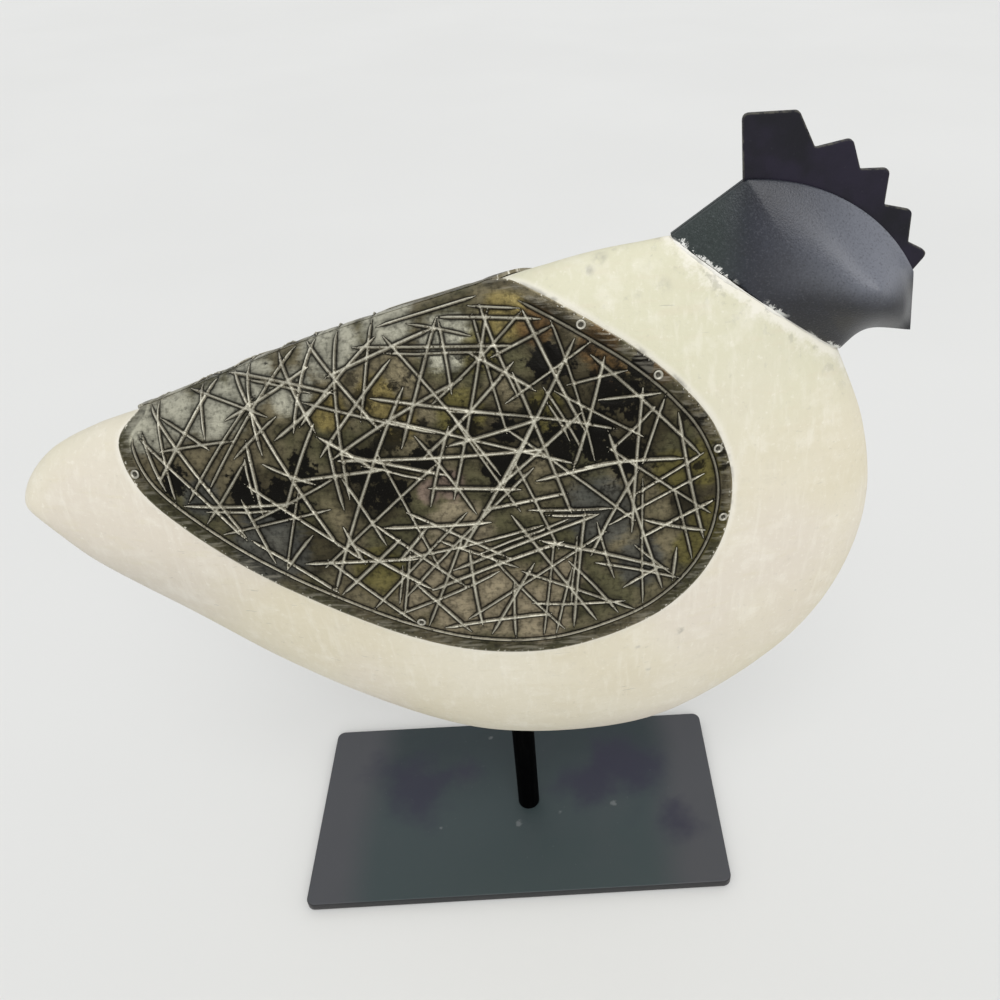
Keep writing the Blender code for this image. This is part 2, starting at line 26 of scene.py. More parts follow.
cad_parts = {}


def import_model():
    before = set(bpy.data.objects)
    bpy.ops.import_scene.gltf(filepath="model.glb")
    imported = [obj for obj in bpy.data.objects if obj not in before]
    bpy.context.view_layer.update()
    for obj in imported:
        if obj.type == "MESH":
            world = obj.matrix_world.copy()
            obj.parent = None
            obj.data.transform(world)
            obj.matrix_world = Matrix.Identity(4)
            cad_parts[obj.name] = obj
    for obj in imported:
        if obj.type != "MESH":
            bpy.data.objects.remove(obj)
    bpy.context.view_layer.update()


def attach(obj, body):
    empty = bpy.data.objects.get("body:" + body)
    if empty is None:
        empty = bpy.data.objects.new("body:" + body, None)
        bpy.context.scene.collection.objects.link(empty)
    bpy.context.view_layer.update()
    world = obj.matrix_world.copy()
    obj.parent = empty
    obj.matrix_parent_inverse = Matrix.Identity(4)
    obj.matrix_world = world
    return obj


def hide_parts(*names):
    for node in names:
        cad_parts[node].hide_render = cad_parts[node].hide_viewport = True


log = logging.getLogger("rooster")

MM = 0.001
Colour = tuple[float, float, float]
Pair = tuple[float, float]
Piece = bpy.types.Object
Material = bpy.types.Material
Ring = Callable[[int], Vector]


# Curves and tables


def curve_through(points: Sequence[Sequence[float]], steps: int = 24) -> list[Vector]:
    """Draws a smooth curve through 2-D points.

    Args:
        points: The places that the curve passes through.
        steps: How many points stand for each stretch.

    Returns:
        The points of the curve, both ends included.
    """
    p = [Vector(q) for q in points]
    p = [2 * p[0] - p[1]] + p + [2 * p[-1] - p[-2]]
    found = []
    for a, b, c, d in zip(p, p[1:], p[2:], p[3:]):
        t1 = math.sqrt((b - a).length)
        t2 = t1 + math.sqrt((c - b).length)
        t3 = t2 + math.sqrt((d - c).length)
        for k in range(steps):
            t = t1 + (t2 - t1) * k / steps
            ab = a.lerp(b, t / t1)
            bc = b.lerp(c, (t - t1) / (t2 - t1))
            cd = c.lerp(d, (t - t2) / (t3 - t2))
            found.append(ab.lerp(bc, t / t2).lerp(bc.lerp(cd, (t - t1) / (t3 - t1)), (t - t1) / (t2 - t1)))
    return found + [p[-2].copy()]


class Line:
    """A polyline that is read by the share of its length."""

    def __init__(self, points: list[Vector]) -> None:
        """Keeps the points and measures the way along them."""
        self.points = points
        self.marks = [0.0]
        for a, b in zip(points, points[1:]):
            self.marks.append(self.marks[-1] + (b - a).length)
        self.length = self.marks[-1]

    def at(self, share: float) -> Vector:
        """Returns the point at a share of the length."""
        reach = min(max(share, 0.0), 1.0) * self.length
        for k in range(1, len(self.points)):
            if reach <= self.marks[k] or k == len(self.points) - 1:
                span = self.marks[k] - self.marks[k - 1]
                return self.points[k - 1].lerp(self.points[k], (reach - self.marks[k - 1]) / span)
        return self.points[-1]

    def along(self, share: float) -> Vector:
        """Returns the unit direction of travel at a share of the length."""
        return (self.at(share + 0.004) - self.at(share - 0.004)).normalized()


def smooth_value(table: Sequence[Pair], x: float) -> float:
    """Reads a smooth curve through a table.

    Args:
        table: Pairs of x and value, in order of x.
        x: The place to read.

    Returns:
        The curve's value at x.
    """
    k = max(i for i in range(len(table) - 1) if x >= table[i][0] or i == 0)
    (x0, y0), (x1, y1) = table[k], table[k + 1]
    before = table[k - 1] if k > 0 else table[k]
    after = table[k + 2] if k + 2 < len(table) else table[k + 1]
    slope0 = (y1 - before[1]) / (x1 - before[0])
    slope1 = (after[1] - y0) / (after[0] - x0)
    t = (x - x0) / (x1 - x0)
    h = x1 - x0
    return (
        (2 * t**3 - 3 * t**2 + 1) * y0
        + (t**3 - 2 * t**2 + t) * h * slope0
        + (3 * t**2 - 2 * t**3) * y1
        + (t**3 - t**2) * h * slope1
    )


def smooth_step(low: float, high: float, x: float) -> float:
    """Returns 0 below low, 1 above high, and a smooth rise between them."""
    t = min(max((x - low) / (high - low), 0.0), 1.0)
    return t * t * (3 - 2 * t)


def distance_to(place: Vector, start: Vector, end: Vector) -> float:
    """Returns the distance from a place to a straight stretch."""
    along = end - start
    t = min(max((place - start).dot(along) / along.length_squared, 0.0), 1.0)
    return (place - start - along * t).length


def inside(place: Vector, loop: Sequence[Vector]) -> bool:
    """Says whether a place is inside a closed outline."""
    found = False
    for k in range(len(loop)):
        a, b = loop[k - 1], loop[k]
        if (a.y > place.y) != (b.y > place.y) and place.x < a.x + (b.x - a.x) * (place.y - a.y) / (b.y - a.y):
            found = not found
    return found


def inset_loop(loop: Sequence[Vector], inset: float) -> list[Vector]:
    """Moves a closed outline inwards.

    Args:
        loop: The outline, counter-clockwise.
        inset: How far it moves.

    Returns:
        The smaller outline, without the corners that fold over.
    """
    found = []
    for k in range(len(loop)):
        along = (loop[(k + 1) % len(loop)] - loop[k - 1]).normalized()
        place = loop[k] + Vector((-along.y, along.x)) * inset
        nearest = min(distance_to(place, loop[n - 1], loop[n]) for n in range(len(loop)))
        if inside(place, loop) and nearest > inset * 0.97:
            found.append(place)
    return found


# The bird's form, which all its pieces share


@dataclass(frozen=True)
class Bird:
    """The carved bird's form: its outlines in the middle plane and the sections between them."""

    length: float = 242.5 * MM
    thickness: float = 56.0 * MM
    clearance: float = 48.4 * MM
    plate_thickness: float = 3.2 * MM
    rod_offset: float = 3.7 * MM
    perch: float = 0.5525
    gap: float = 0.3 * MM
    socket_depth: float = 30.0 * MM
    back_line: tuple[Pair, ...] = (
        (0.000, 0.447), (0.007, 0.471), (0.043, 0.509), (0.1035, 0.5385), (0.166, 0.5575),
        (0.367, 0.631), (0.532, 0.6795), (0.657, 0.7155), (0.744, 0.7305),
    )
    underside: tuple[Pair, ...] = (
        (0.000, 0.447), (0.016, 0.422), (0.052, 0.359), (0.162, 0.258), (0.276, 0.1555),
        (0.389, 0.073), (0.500, 0.016), (0.613, 0.000), (0.739, 0.0145), (0.838, 0.071),
        (0.936, 0.169), (0.988, 0.280), (1.000, 0.395), (0.977, 0.502), (0.935, 0.596),
    )
    half_thickness: tuple[Pair, ...] = (
        (0.00, 0.29), (0.08, 0.34), (0.20, 0.54), (0.35, 0.79),
        (0.50, 0.965), (0.65, 1.0), (0.82, 0.715), (1.00, 0.232),
    )
    tail_rounding: float = 0.07
    tail_crowding: float = 1.3
    back: Line = field(init=False)
    keel: Line = field(init=False)

    def __post_init__(self) -> None:
        """Draws the two outlines."""
        object.__setattr__(self, "back", Line(curve_through(self.back_line)))
        object.__setattr__(self, "keel", Line(curve_through(self.underside)))

    def placed(self, share: Sequence[float], y: float = 0.0) -> Vector:
        """Returns the point at a side-view place in shares, y metres from the middle plane."""
        x = self.rod_offset + (share[0] - self.perch) * self.length
        return Vector((x, y, self.plate_thickness + self.clearance + share[1] * self.length))

    def station(self, t: float) -> float:
        """Returns the section at a share t of the way, evenly spread and closer at the tail."""
        extra = self.keel.length - self.back.length
        way = (self.back.length + extra / 2) * t**self.tail_crowding
        return (math.sqrt(self.back.length**2 + 2 * extra * way) - self.back.length) / extra

    def ends(self, u: float) -> tuple[Vector, Vector]:
        """Returns where section u meets the back and the underside, in shares."""
        near_tail = self.back.length / self.keel.length
        return self.back.at(u), self.keel.at(near_tail * u + (1 - near_tail) * u * u)

    def section(self, u: float) -> Callable[[float], Vector]:
        """Draws one section of the carved surface.

        Args:
            u: The section, from 0 at the tail's tip to 1 at the neck.

        Returns:
            A function from the turn (0 at the back, down the right side, pi at the underside) to the point.
        """
        top, bottom = self.ends(u)
        middle = (top + bottom) / 2
        rounding = 1 - min(u / self.tail_rounding, 1.0)
        half = smooth_value(self.half_thickness, u) * self.thickness / 2 * math.sqrt(1 - rounding**2)
        return lambda turn: self.placed(middle + (top - middle) * math.cos(turn), -half * math.sin(turn))

    def neck_normal(self) -> Vector:
        """Returns the direction from the neck's flat face into the head."""
        top, bottom = self.ends(1.0)
        along = (self.placed(bottom) - self.placed(top)).normalized()
        return Vector((-along.z, 0, along.x))

    def belly_over(self, x: float) -> float:
        """Returns the height of the underside above a place x."""
        below = [self.placed(p) for p in self.keel.points[: len(self.keel.points) * 2 // 3]]
        return min(below, key=lambda p: abs(p.x - x)).z


# Modelling helpers


class Shop:
    """Small modelling steps that the pieces share."""

    @staticmethod
    def alone(piece: Piece) -> Piece:
        """Selects one piece, makes it active, and returns it."""
        bpy.ops.object.select_all(action="DESELECT")
        piece.select_set(True)
        bpy.context.view_layer.objects.active = piece
        return piece

    @staticmethod
    def started(name: str, primitive: Callable[[], object]) -> Piece:
        """Adds a primitive as a new piece.

        Args:
            name: The piece's name.
            primitive: The call that adds it.

        Returns:
            The new object.
        """
        bpy.ops.object.select_all(action="DESELECT")
        primitive()
        piece = bpy.context.active_object
        piece.name = name
        piece.data.name = name
        return piece

    @staticmethod
    def settled(piece: Piece) -> None:
        """Moves a piece's place, turn and scale into its mesh."""
        Shop.alone(piece)
        bpy.ops.object.transform_apply(location=True, rotation=True, scale=True)

    @staticmethod
    def shaped(piece: Piece, place: Callable[[Vector], Vector]) -> None:
        """Moves every vertex of a piece by a rule.

        Args:
            piece: The object to shape.
            place: Gives the new place of a vertex from its old one.
        """
        for vertex in piece.data.vertices:
            vertex.co = place(vertex.co.copy())
        piece.data.update()

    @staticmethod
    def edited(piece: Piece, mode: str, chosen: Callable[[object], bool], step: Callable[[], object]) -> None:
        """Runs one edit-mode step on the parts of a mesh that a test picks.

        Args:
            piece: The object to edit.
            mode: VERT, EDGE or FACE.
            chosen: The test, given a vertex, an edge or a face.
            step: The operator call.
        """
        Shop.alone(piece)
        bpy.ops.object.mode_set(mode="EDIT")
        bpy.ops.mesh.select_mode(type=mode)
        bpy.ops.mesh.select_all(action="DESELECT")
        bpy.ops.object.mode_set(mode="OBJECT")
        parts = {"VERT": piece.data.vertices, "EDGE": piece.data.edges, "FACE": piece.data.polygons}[mode]
        for part in parts:
            part.select = chosen(part)
        bpy.ops.object.mode_set(mode="EDIT")
        step()
        bpy.ops.object.mode_set(mode="OBJECT")

    @staticmethod
    def bevelled(piece: Piece, chosen: Callable[[object], bool], width: float, segments: int) -> None:
        """Rounds the edges of a mesh that a test picks.

        Args:
            piece: The object to edit.
            chosen: The test, given an edge.
            width: How far each rounding reaches from its edge.
            segments: How many stretches stand for each rounding.
        """

        def step() -> None:
            """Rounds what is selected."""
            bpy.ops.mesh.bevel(offset=width, segments=segments, affect="EDGES")

        Shop.edited(piece, "EDGE", chosen, step)

    @staticmethod
    def outwards(piece: Piece) -> None:
        """Merges doubles and turns all faces outwards."""

        def step() -> None:
            """Merges and recalculates what is selected."""
            bpy.ops.mesh.remove_doubles(threshold=0.001 * MM)
            bpy.ops.mesh.normals_make_consistent(inside=False)

        Shop.edited(piece, "FACE", lambda face: True, step)

    @staticmethod
    def modified(piece: Piece, kind: str, **settings: object) -> None:
        """Adds a modifier and applies it.

        Args:
            piece: The object to modify.
            kind: The modifier's type.
            settings: The modifier's values.
        """
        Shop.alone(piece)
        made = piece.modifiers.new(kind.lower(), kind)
        for key, value in settings.items():
            setattr(made, key, value)
        bpy.ops.object.modifier_apply(modifier=made.name)

    @staticmethod
    def smoothed(piece: Piece, degrees: float) -> None:
        """Shades a piece smooth, with sharp edges above an angle."""
        Shop.alone(piece)
        bpy.ops.object.shade_smooth_by_angle(angle=math.radians(degrees))

    @staticmethod
    def edge_ends(piece: Piece, edge: bpy.types.MeshEdge) -> tuple[Vector, Vector]:
        """Returns the two end places of an edge."""
        a, b = edge.vertices
        return piece.data.vertices[a].co, piece.data.vertices[b].co

    @staticmethod
    def from_mesh(name: str, verts: Iterable[Sequence[float]], faces: Iterable[Sequence[int]]) -> Piece:
        """Makes a piece of given vertices and faces.

        Args:
            name: The piece's name.
            verts: The vertices' places.
            faces: The faces' vertex numbers.

        Returns:
            The new object.
        """
        mesh = bpy.data.meshes.new(name)
        mesh.from_pydata([tuple(v) for v in verts], [], [tuple(f) for f in faces])
        mesh.validate()
        piece = bpy.data.objects.new(name, mesh)
        bpy.context.scene.collection.objects.link(piece)
        return piece

    @staticmethod
    def measured(piece: Piece, name: str, values: Sequence[float]) -> None:
        """Stores one number for each vertex as a named attribute."""
        made = piece.data.attributes.new(name, "FLOAT", "POINT")
        made.data.foreach_set("value", np.asarray(values, dtype=np.float32))


# Shader sockets as numbers


class Value:
    """A number that varies over a surface: a shader socket with Python's arithmetic."""

    def __init__(self, graph: Graph, socket: bpy.types.NodeSocket) -> None:
        """Keeps the socket and the graph that it belongs to."""
        self.graph = graph
        self.socket = socket

    def _math(self, operation: str, *operands: Value | float) -> Value:
        """Adds one Math node.

        Args:
            operation: The node's operation.
            operands: Its inputs in order.

        Returns:
            The node's result.
        """
        inputs = {index: operand for index, operand in enumerate(operands)}
        return self.graph.node("ShaderNodeMath", {"operation": operation}, inputs)

    def __add__(self, other: Value | float) -> Value:
        """Returns self + other."""
        return self._math("ADD", self, other)

    def __radd__(self, other: float) -> Value:
        """Returns other + self."""
        return self._math("ADD", other, self)

    def __sub__(self, other: Value | float) -> Value:
        """Returns self - other."""
        return self._math("SUBTRACT", self, other)

    def __rsub__(self, other: float) -> Value:
        """Returns other - self."""
        return self._math("SUBTRACT", other, self)

    def __mul__(self, other: Value | float) -> Value:
        """Returns self * other."""
        return self._math("MULTIPLY", self, other)

    def rise(self, low: float, high: float) -> Value:
        """Returns a smooth rise from 0 at low to 1 at high."""
        inputs = {"Value": self, "From Min": low, "From Max": high}
        return self.graph.node("ShaderNodeMapRange", {"interpolation_type": "SMOOTHSTEP"}, inputs)

    def fall(self, low: float, high: float) -> Value:
        """Returns a smooth fall from 1 at low to 0 at high."""
        return 1 - self.rise(low, high)

    def size(self) -> Value:
        """Returns the value without its sign."""
        return self._math("ABSOLUTE", self)

    def most(self, other: Value | float) -> Value:
        """Returns the larger of the two."""
        return self._math("MAXIMUM", self, other)


class Graph:
    """The node tree of one material, written as expressions."""

    def __init__(self, name: str) -> None:
        """Starts a material with an empty tree."""
        self.material = bpy.data.materials.new(name)
        self.material.use_nodes = True
        self.tree = self.material.node_tree
        self.tree.nodes.clear()
        self.place = self.node("ShaderNodeTexCoord", {}, {}, "Object")
        self.colour: Value | None = None

    def node(
        self, kind: str, settings: dict[str, object], inputs: dict[int | str, object], output: int | str = 0
    ) -> Value:
        """Adds any node.

        Args:
            kind: The node's type name.
            settings: Its properties, set before the sockets.
            inputs: Its sockets' values or links, by name or number.
            output: The socket to return.

        Returns:
            The chosen output.
        """
        made = self.tree.nodes.new(kind)
        for key, value in settings.items():
            setattr(made, key, value)
        for key, value in inputs.items():
            socket = made.inputs[key]
            if isinstance(value, Value):
                self.tree.links.new(value.socket, socket)
            elif isinstance(value, tuple) and len(value) == 3 and socket.type == "RGBA":
                socket.default_value = (*value, 1.0)
            else:
                socket.default_value = value
        return Value(self, made.outputs[output])

    def moved(self, scale: Sequence[float], turn: Sequence[float] = (0, 0, 0)) -> Value:
        """Returns the object's coordinates, turned and scaled for a streaky pattern."""
        inputs = {"Vector": self.place, "Scale": tuple(scale), "Rotation": tuple(turn)}
        return self.node("ShaderNodeMapping", {"vector_type": "POINT"}, inputs)

    def noise(
        self, scale: float, detail: float = 3.0, place: Value | None = None, rough: float = 0.55
    ) -> Value:
        """Adds a noise pattern.

        Args:
            scale: Waves for each unit of the coordinates.
            detail: How many finer layers it has.
            place: The coordinates, the object's own if left out.
            rough: How strong the finer layers are.

        Returns:
            The noise, about 0.5 on average.
        """
        inputs = {"Vector": place or self.place, "Scale": scale, "Detail": detail, "Roughness": rough}
        return self.node("ShaderNodeTexNoise", {}, inputs)

    def axis(self, name: str) -> Value:
        """Returns the place along X, Y or Z."""
        return self.node("ShaderNodeSeparateXYZ", {}, {0: self.place}, name)

    def attribute(self, name: str) -> Value:
        """Returns a number stored on the mesh."""
        return self.node("ShaderNodeAttribute", {"attribute_name": name}, {}, "Fac")

    def mix(self, share: Value | float, low: Value | Colour, high: Value | Colour) -> Value:
        """Mixes two colours.

        Args:
            share: 0 gives the first and 1 the second.
            low: The first colour.
            high: The second colour.

        Returns:
            The mixed colour.
        """
        settings = {"data_type": "RGBA", "clamp_factor": True}
        return self.node("ShaderNodeMix", settings, {0: share, 6: low, 7: high}, 2)

    def lay(self, share: Value | float, colour: Colour) -> None:
        """Lays a colour over the finish's colour, by a share."""
        self.colour = self.mix(share, self.colour, colour)

    def spot(self, centre: Sequence[float], radius: float, wobble: Value | None = None) -> Value:
        """Returns a mask that is 1 at a place and fades to 0 at a radius, with an uneven rim."""
        inputs = {0: self.place, 1: tuple(centre)}
        away = self.node("ShaderNodeVectorMath", {"operation": "DISTANCE"}, inputs, "Value")
        if wobble is not None:
            away = away + (wobble - 0.5) * (radius * 2.2)
        return away.fall(radius * 0.25, radius)

    def bump(self, height: Value, strength: float, depth: float, below: Value | None = None) -> Value:
        """Turns a height into a bumpy normal, over an earlier one if given."""
        inputs = {"Height": height, "Strength": strength, "Distance": depth}
        if below is not None:
            inputs["Normal"] = below
        return self.node("ShaderNodeBump", {}, inputs, "Normal")

    def finished(self, **inputs: Value | float | Colour) -> Material:
        """Closes the graph with one Principled shader, in the colour laid so far.

        Args:
            inputs: The shader's other sockets, with underscores for spaces.

        Returns:
            The material.
        """
        named = {"Base Color": self.colour}
        named |= {key.replace("_", " "): value for key, value in inputs.items()}
        shader = self.node("ShaderNodeBsdfPrincipled", {}, named, "BSDF")
        output = self.tree.nodes.new("ShaderNodeOutputMaterial")
        self.tree.links.new(shader.socket, output.inputs["Surface"])
        return self.material


# Finishes


@dataclass(frozen=True)
class CreamPaint:
    """Matt cream paint brushed over the wood, with scuffs, chalky beside the sheets and the neck, a painted
    shadow along the sheets' edges and painted shade under the tail.
    """

    pale: Colour = (0.755, 0.705, 0.570)
    warm: Colour = (0.705, 0.645, 0.490)
    green: Colour = (0.690, 0.672, 0.495)
    pinkish: Colour = (0.720, 0.655, 0.560)
    chalk: Colour = (0.900, 0.865, 0.770)
    smudge_and_shade: Colour = (0.300, 0.290, 0.255)
    scuffs: tuple[tuple[tuple[float, float, float], float], ...] = (
        ((32.8, -2.5, 225.1), 1.9), ((30.0, -4.4, 222.6), 1.4), ((36.4, -1.2, 227.2), 1.0),
        ((48.2, -5.9, 218.6), 2.0), ((41.6, -7.4, 217.0), 1.2), ((59.8, -6.0, 216.4), 1.0),
        ((103.2, -10.4, 155.6), 1.5), ((94.8, -13.4, 156.9), 1.0), ((91.6, -15.2, 120.2), 1.0),
        ((54.9, -22.2, 114.6), 1.7), ((42.0, -24.4, 110.6), 1.1), ((45.4, -22.2, 99.0), 0.9),
    )

    def material(self) -> Material:
        """Returns the paint's material."""
        g = Graph("cream paint")
        broad = g.noise(24.0, 4.0)
        patches = g.noise(9.0, 2.0)
        brushed = g.noise(1.0, 5.0, g.moved((60.0, 300.0, 420.0), (0.0, math.radians(20), 0.0)), 0.65)
        combed = g.noise(1.0, 5.0, g.moved((420.0, 300.0, 55.0)), 0.65)
        stipple = g.noise(620.0, 4.0, None, 0.7)
        blotch = g.noise(95.0, 5.0, None, 0.65)
        high = g.axis("Z") + (patches - 0.5) * 0.06
        g.colour = g.mix(broad.rise(0.36, 0.66), self.pale, self.warm)
        g.lay(high.rise(0.160, 0.205) * 0.85, self.green)
        g.lay(patches.rise(0.48, 0.60) * high.fall(0.17, 0.22) * 0.8, self.pinkish)
        g.lay(blotch.rise(0.50, 0.70) * 0.30, self.chalk)
        g.lay(brushed.rise(0.50, 0.72) * 0.45, self.warm)
        g.lay((1 - combed).rise(0.50, 0.72) * 0.25, self.chalk)
        g.lay((1 - blotch).rise(0.58, 0.74) * 0.30, (0.60, 0.55, 0.43))
        g.lay(stipple.rise(0.58, 0.80) * 0.26, self.smudge_and_shade)
        g.lay((1 - stipple).rise(0.56, 0.80) * 0.6, self.chalk)
        scratch = g.noise(1.0, 2.0, g.moved((48.0, 900.0, 900.0), (0.0, math.radians(-62), 0.3)), 0.5)
        nick = scratch.rise(0.70, 0.74) * broad.rise(0.50, 0.60)
        g.lay(nick * 0.35, self.smudge_and_shade)
        away = g.attribute("sheet_edge")
        halo = 1 - (away + (broad - 0.5) * 0.003).rise(0.0002, 0.0024)
        g.lay(halo * 0.70, self.chalk)
        # dirt together with a painted shadow: a thin dark line right at the sheets' edges, where the gap
        # under the sheet is shaded
        grime_and_gap_shadow = away.fall(0.0002, 0.0014) * g.noise(150.0, 3.0).rise(0.52, 0.66)
        g.lay(grime_and_gap_shadow * 0.65, self.smudge_and_shade)
        wobble = g.noise(260.0, 4.0)
        neck = g.attribute("neck_away") + (g.noise(130.0, 6.0, None, 0.75) - 0.5) * 0.016
        g.lay(neck.fall(0.0004, 0.0040) * 0.75, self.chalk)
        g.lay(neck.fall(0.001, 0.012) * wobble.rise(0.56, 0.66) * 0.35, self.smudge_and_shade)
        marks: Value | float = 0.0
        for place, radius in self.scuffs:
            spot = g.spot([c * MM for c in place], radius * MM * 1.5, wobble)
            marks = spot.most(marks)
        g.lay(marks * wobble.rise(0.35, 0.65) * 0.6, self.smudge_and_shade)
        # painted shade: the underside of the tail is darkened with the smudge colour
        painted_tail_shade = g.axis("X").fall(-0.105, -0.050)
        g.lay(painted_tail_shade * high.fall(0.142, 0.166) * 0.22, self.smudge_and_shade)
        rough = 0.6 + (brushed - 0.5) * 0.3
        fine = g.bump(stipple, 0.35, 0.0002, g.bump(brushed, 0.4, 0.00025))
        normal = g.bump(blotch, 0.35, 0.0005, fine)
        return g.finished(Roughness=rough, Normal=normal, Specular_IOR_Level=0.35)


@dataclass(frozen=True)
class TintData:
    """One tint of the patina: its colour and how strongly it covers."""

    colour: Colour
    strength: float


class Tint(Enum):
    """The tints of the sheet's patina, in the order in which they are laid."""

    UMBER = TintData((0.052, 0.043, 0.024), 0.85)
    # silver is bare metal and also a painted reflection of the bright sky on the upward-facing sheet along
    # the ridge
    SILVER = TintData((0.530, 0.515, 0.405), 0.90)
    SLATE = TintData((0.100, 0.103, 0.095), 0.80)
    CLAY = TintData((0.370, 0.310, 0.205), 0.85)
    GOLD = TintData((0.300, 0.235, 0.080), 0.80)
    OLIVE = TintData((0.175, 0.150, 0.045), 0.80)
    BROWN = TintData((0.150, 0.085, 0.032), 0.80)
    PINK = TintData((0.330, 0.240, 0.195), 0.75)
    BLACK = TintData((0.004, 0.0035, 0.003), 0.98)

    @property
    def colour(self) -> Colour:
        """Returns the tint's colour."""
        return self.value.colour

    @property
    def strength(self) -> float:
        """Returns how strongly the tint covers."""
        return self.value.strength


# Where each tint lies: places and radii in thousandths of the body's length
PATINA: dict[Tint, tuple[tuple[int, int, int], ...]] = {
    Tint.UMBER: (
        (640, 430, 75), (700, 400, 60), (560, 390, 55), (420, 350, 60),
        (300, 340, 50), (610, 495, 45), (770, 320, 45), (350, 280, 40),
    ),
    # silver patches along the ridge: bare metal and a painted reflection of the bright sky
    Tint.SILVER: (
        (180, 420, 40), (211, 430, 40), (260, 435, 45), (389, 492, 45),
        (511, 489, 40), (344, 450, 35), (299, 460, 40), (450, 513, 40),
    ),
    Tint.SLATE: ((299, 288, 60), (233, 345, 30), (664, 309, 55), (709, 249, 40)),
    Tint.CLAY: (
        (511, 295, 50), (485, 262, 45), (547, 211, 60), (591, 190, 50),
        (500, 201, 40), (458, 228, 40), (619, 240, 35),
    ),
    Tint.GOLD: ((435, 438, 30), (454, 413, 32), (385, 425, 28), (574, 512, 35)),
    Tint.OLIVE: (
        (522, 420, 35), (609, 416, 28), (780, 358, 35), (789, 291, 35),
        (767, 263, 30), (547, 478, 30), (742, 349, 30), (417, 254, 40),
    ),
    Tint.BROWN: ((668, 480, 30), (678, 453, 28), (604, 500, 28), (730, 462, 30)),
    Tint.PINK: ((505, 344, 22), (483, 339, 18)),
    Tint.BLACK: (
        (283, 349, 34), (325, 337, 34), (352, 367, 26), (414, 366, 30),
        (446, 341, 24), (482, 376, 24), (424, 337, 24), (617, 465, 30),
        (688, 428, 38), (661, 389, 40), (629, 385, 34), (709, 457, 20),
        (559, 362, 30), (692, 367, 30), (205, 364, 26), (570, 400, 22),
    ),
}


@dataclass(frozen=True)
class PatinatedSheet:
    """Embossed soft metal sheet: worn bright ribs in dark hollows over a patina of many tints, painted shade
    round the ribs, and silver along the ridge that is partly a painted reflection.
    """

    base: Colour = (0.108, 0.100, 0.052)
    taupe: Colour = (0.212, 0.180, 0.108)
    soot_and_shade: Colour = (0.006, 0.0055, 0.004)
    bright: Colour = (0.640, 0.615, 0.505)
    flank: Colour = (0.210, 0.190, 0.140)
    worn: Colour = (0.430, 0.400, 0.320)
    paint: Colour = (0.720, 0.690, 0.590)

    def _patina(self, g: Graph, wobble: Value, torn: Value) -> None:
        """Lays the tinted patches.

        Args:
            g: The material's graph.
            wobble: The noise that makes the soft patches uneven.
            torn: The noise that tears the hard black patches.
        """
        g.colour = g.mix(g.noise(12.0, 3.0).rise(0.40, 0.60), self.base, self.taupe)
        for tint, patches in PATINA.items():
            cover: Value | float = 0.0
            for x, y, radius in patches:
                cover = g.spot((x / 1000, y / 1000, 0.0), radius / 1000 * 1.15).most(cover)
            if tint is Tint.BLACK:
                mask = (cover * 0.9 + (torn - 0.5) * 3.4).rise(0.42, 0.68)
            else:
                mask = (cover + (wobble - 0.5) * 1.6).rise(0.22, 0.85)
            g.lay(mask * tint.strength, tint.colour)
        burnt = g.noise(26.0, 5.0, None, 0.65).rise(0.53, 0.60)
        across = g.axis("X").rise(0.32, 0.46)
        up = g.axis("Y")
        scorched = burnt * across * up.rise(0.26, 0.36) * up.fall(0.47, 0.50)
        g.lay(scorched * 0.9, self.soot_and_shade)

    def material(self) -> Material:
        """Returns the sheet's material."""
        g = Graph("patinated sheet")
        g.place = g.node("ShaderNodeUVMap", {"uv_map": "UVMap"}, {})
        middle = g.noise(40.0, 4.0)
        streaks = g.noise(1.0, 4.0, g.moved((30.0, 210.0, 1.0), (0.0, 0.0, math.radians(-8))), 0.6)
        hatch = g.noise(1.0, 3.0, g.moved((90.0, 640.0, 1.0), (0.0, 0.0, math.radians(24))), 0.6)
        fine = g.noise(170.0, 4.0)
        grain = g.noise(560.0, 3.0)
        away = g.attribute("rib_away")
        edge = g.attribute("edge_away")
        self._patina(g, middle * 0.5 + streaks * 0.5, middle * 0.6 + fine * 0.4)
        g.lay(fine.rise(0.42, 0.72) * 0.55, self.soot_and_shade)
        g.lay(hatch.rise(0.50, 0.74) * 0.35, self.soot_and_shade)
        g.lay((1 - grain).rise(0.60, 0.80) * 0.08, self.worn)
        # dirt and painted shade: the cells darken towards each rib, where the raised ribs shade the sheet
        pillow = away.fall(0.0004, 0.0038)
        g.lay(pillow * (0.24 + fine * 0.48), self.soot_and_shade)
        shaken = away + (grain - 0.5) * 0.00022 + (fine - 0.5) * 0.00016
        hollow = shaken.fall(0.00060, 0.00125)
        g.lay(hollow * 0.93, self.soot_and_shade)
        side = shaken.fall(0.00034, 0.00050)
        g.lay(side * 0.85, self.flank)
        crest = shaken.fall(0.00012, 0.00030)
        nicked = crest * (0.45 + middle.rise(0.25, 0.7) * 0.55) * (1 - grain.rise(0.60, 0.72) * 0.6)
        border = edge.rise(0.0030, 0.0034) * edge.fall(0.0044, 0.0048)
        g.lay(nicked * (1 - border * 0.6), self.bright)
        band = edge.rise(0.0002, 0.0006) * edge.fall(0.0026, 0.0032)
        g.lay(band * 0.45, self.soot_and_shade)
        g.lay(band * streaks.rise(0.46, 0.64) * 0.30, self.worn)
        cut = edge.fall(0.00005, 0.0004)
        g.lay(cut * middle.rise(0.35, 0.6) * 0.7, self.worn)
        flecks = edge.fall(0.0002, 0.0012) * g.noise(260.0, 3.0).rise(0.60, 0.66)
        g.lay(flecks, self.paint)
        metal = (0.55 + crest * 0.2) * (1 - flecks)
        rough = 0.38 + (fine - 0.5) * 0.30 + hollow * 0.15
        normal = g.bump(streaks, 0.22, 0.0004, g.bump(fine, 0.40, 0.0004, g.bump(grain, 0.30, 0.0002)))
        return g.finished(Roughness=rough, Metallic=metal, Normal=normal, Specular_IOR_Level=0.12)


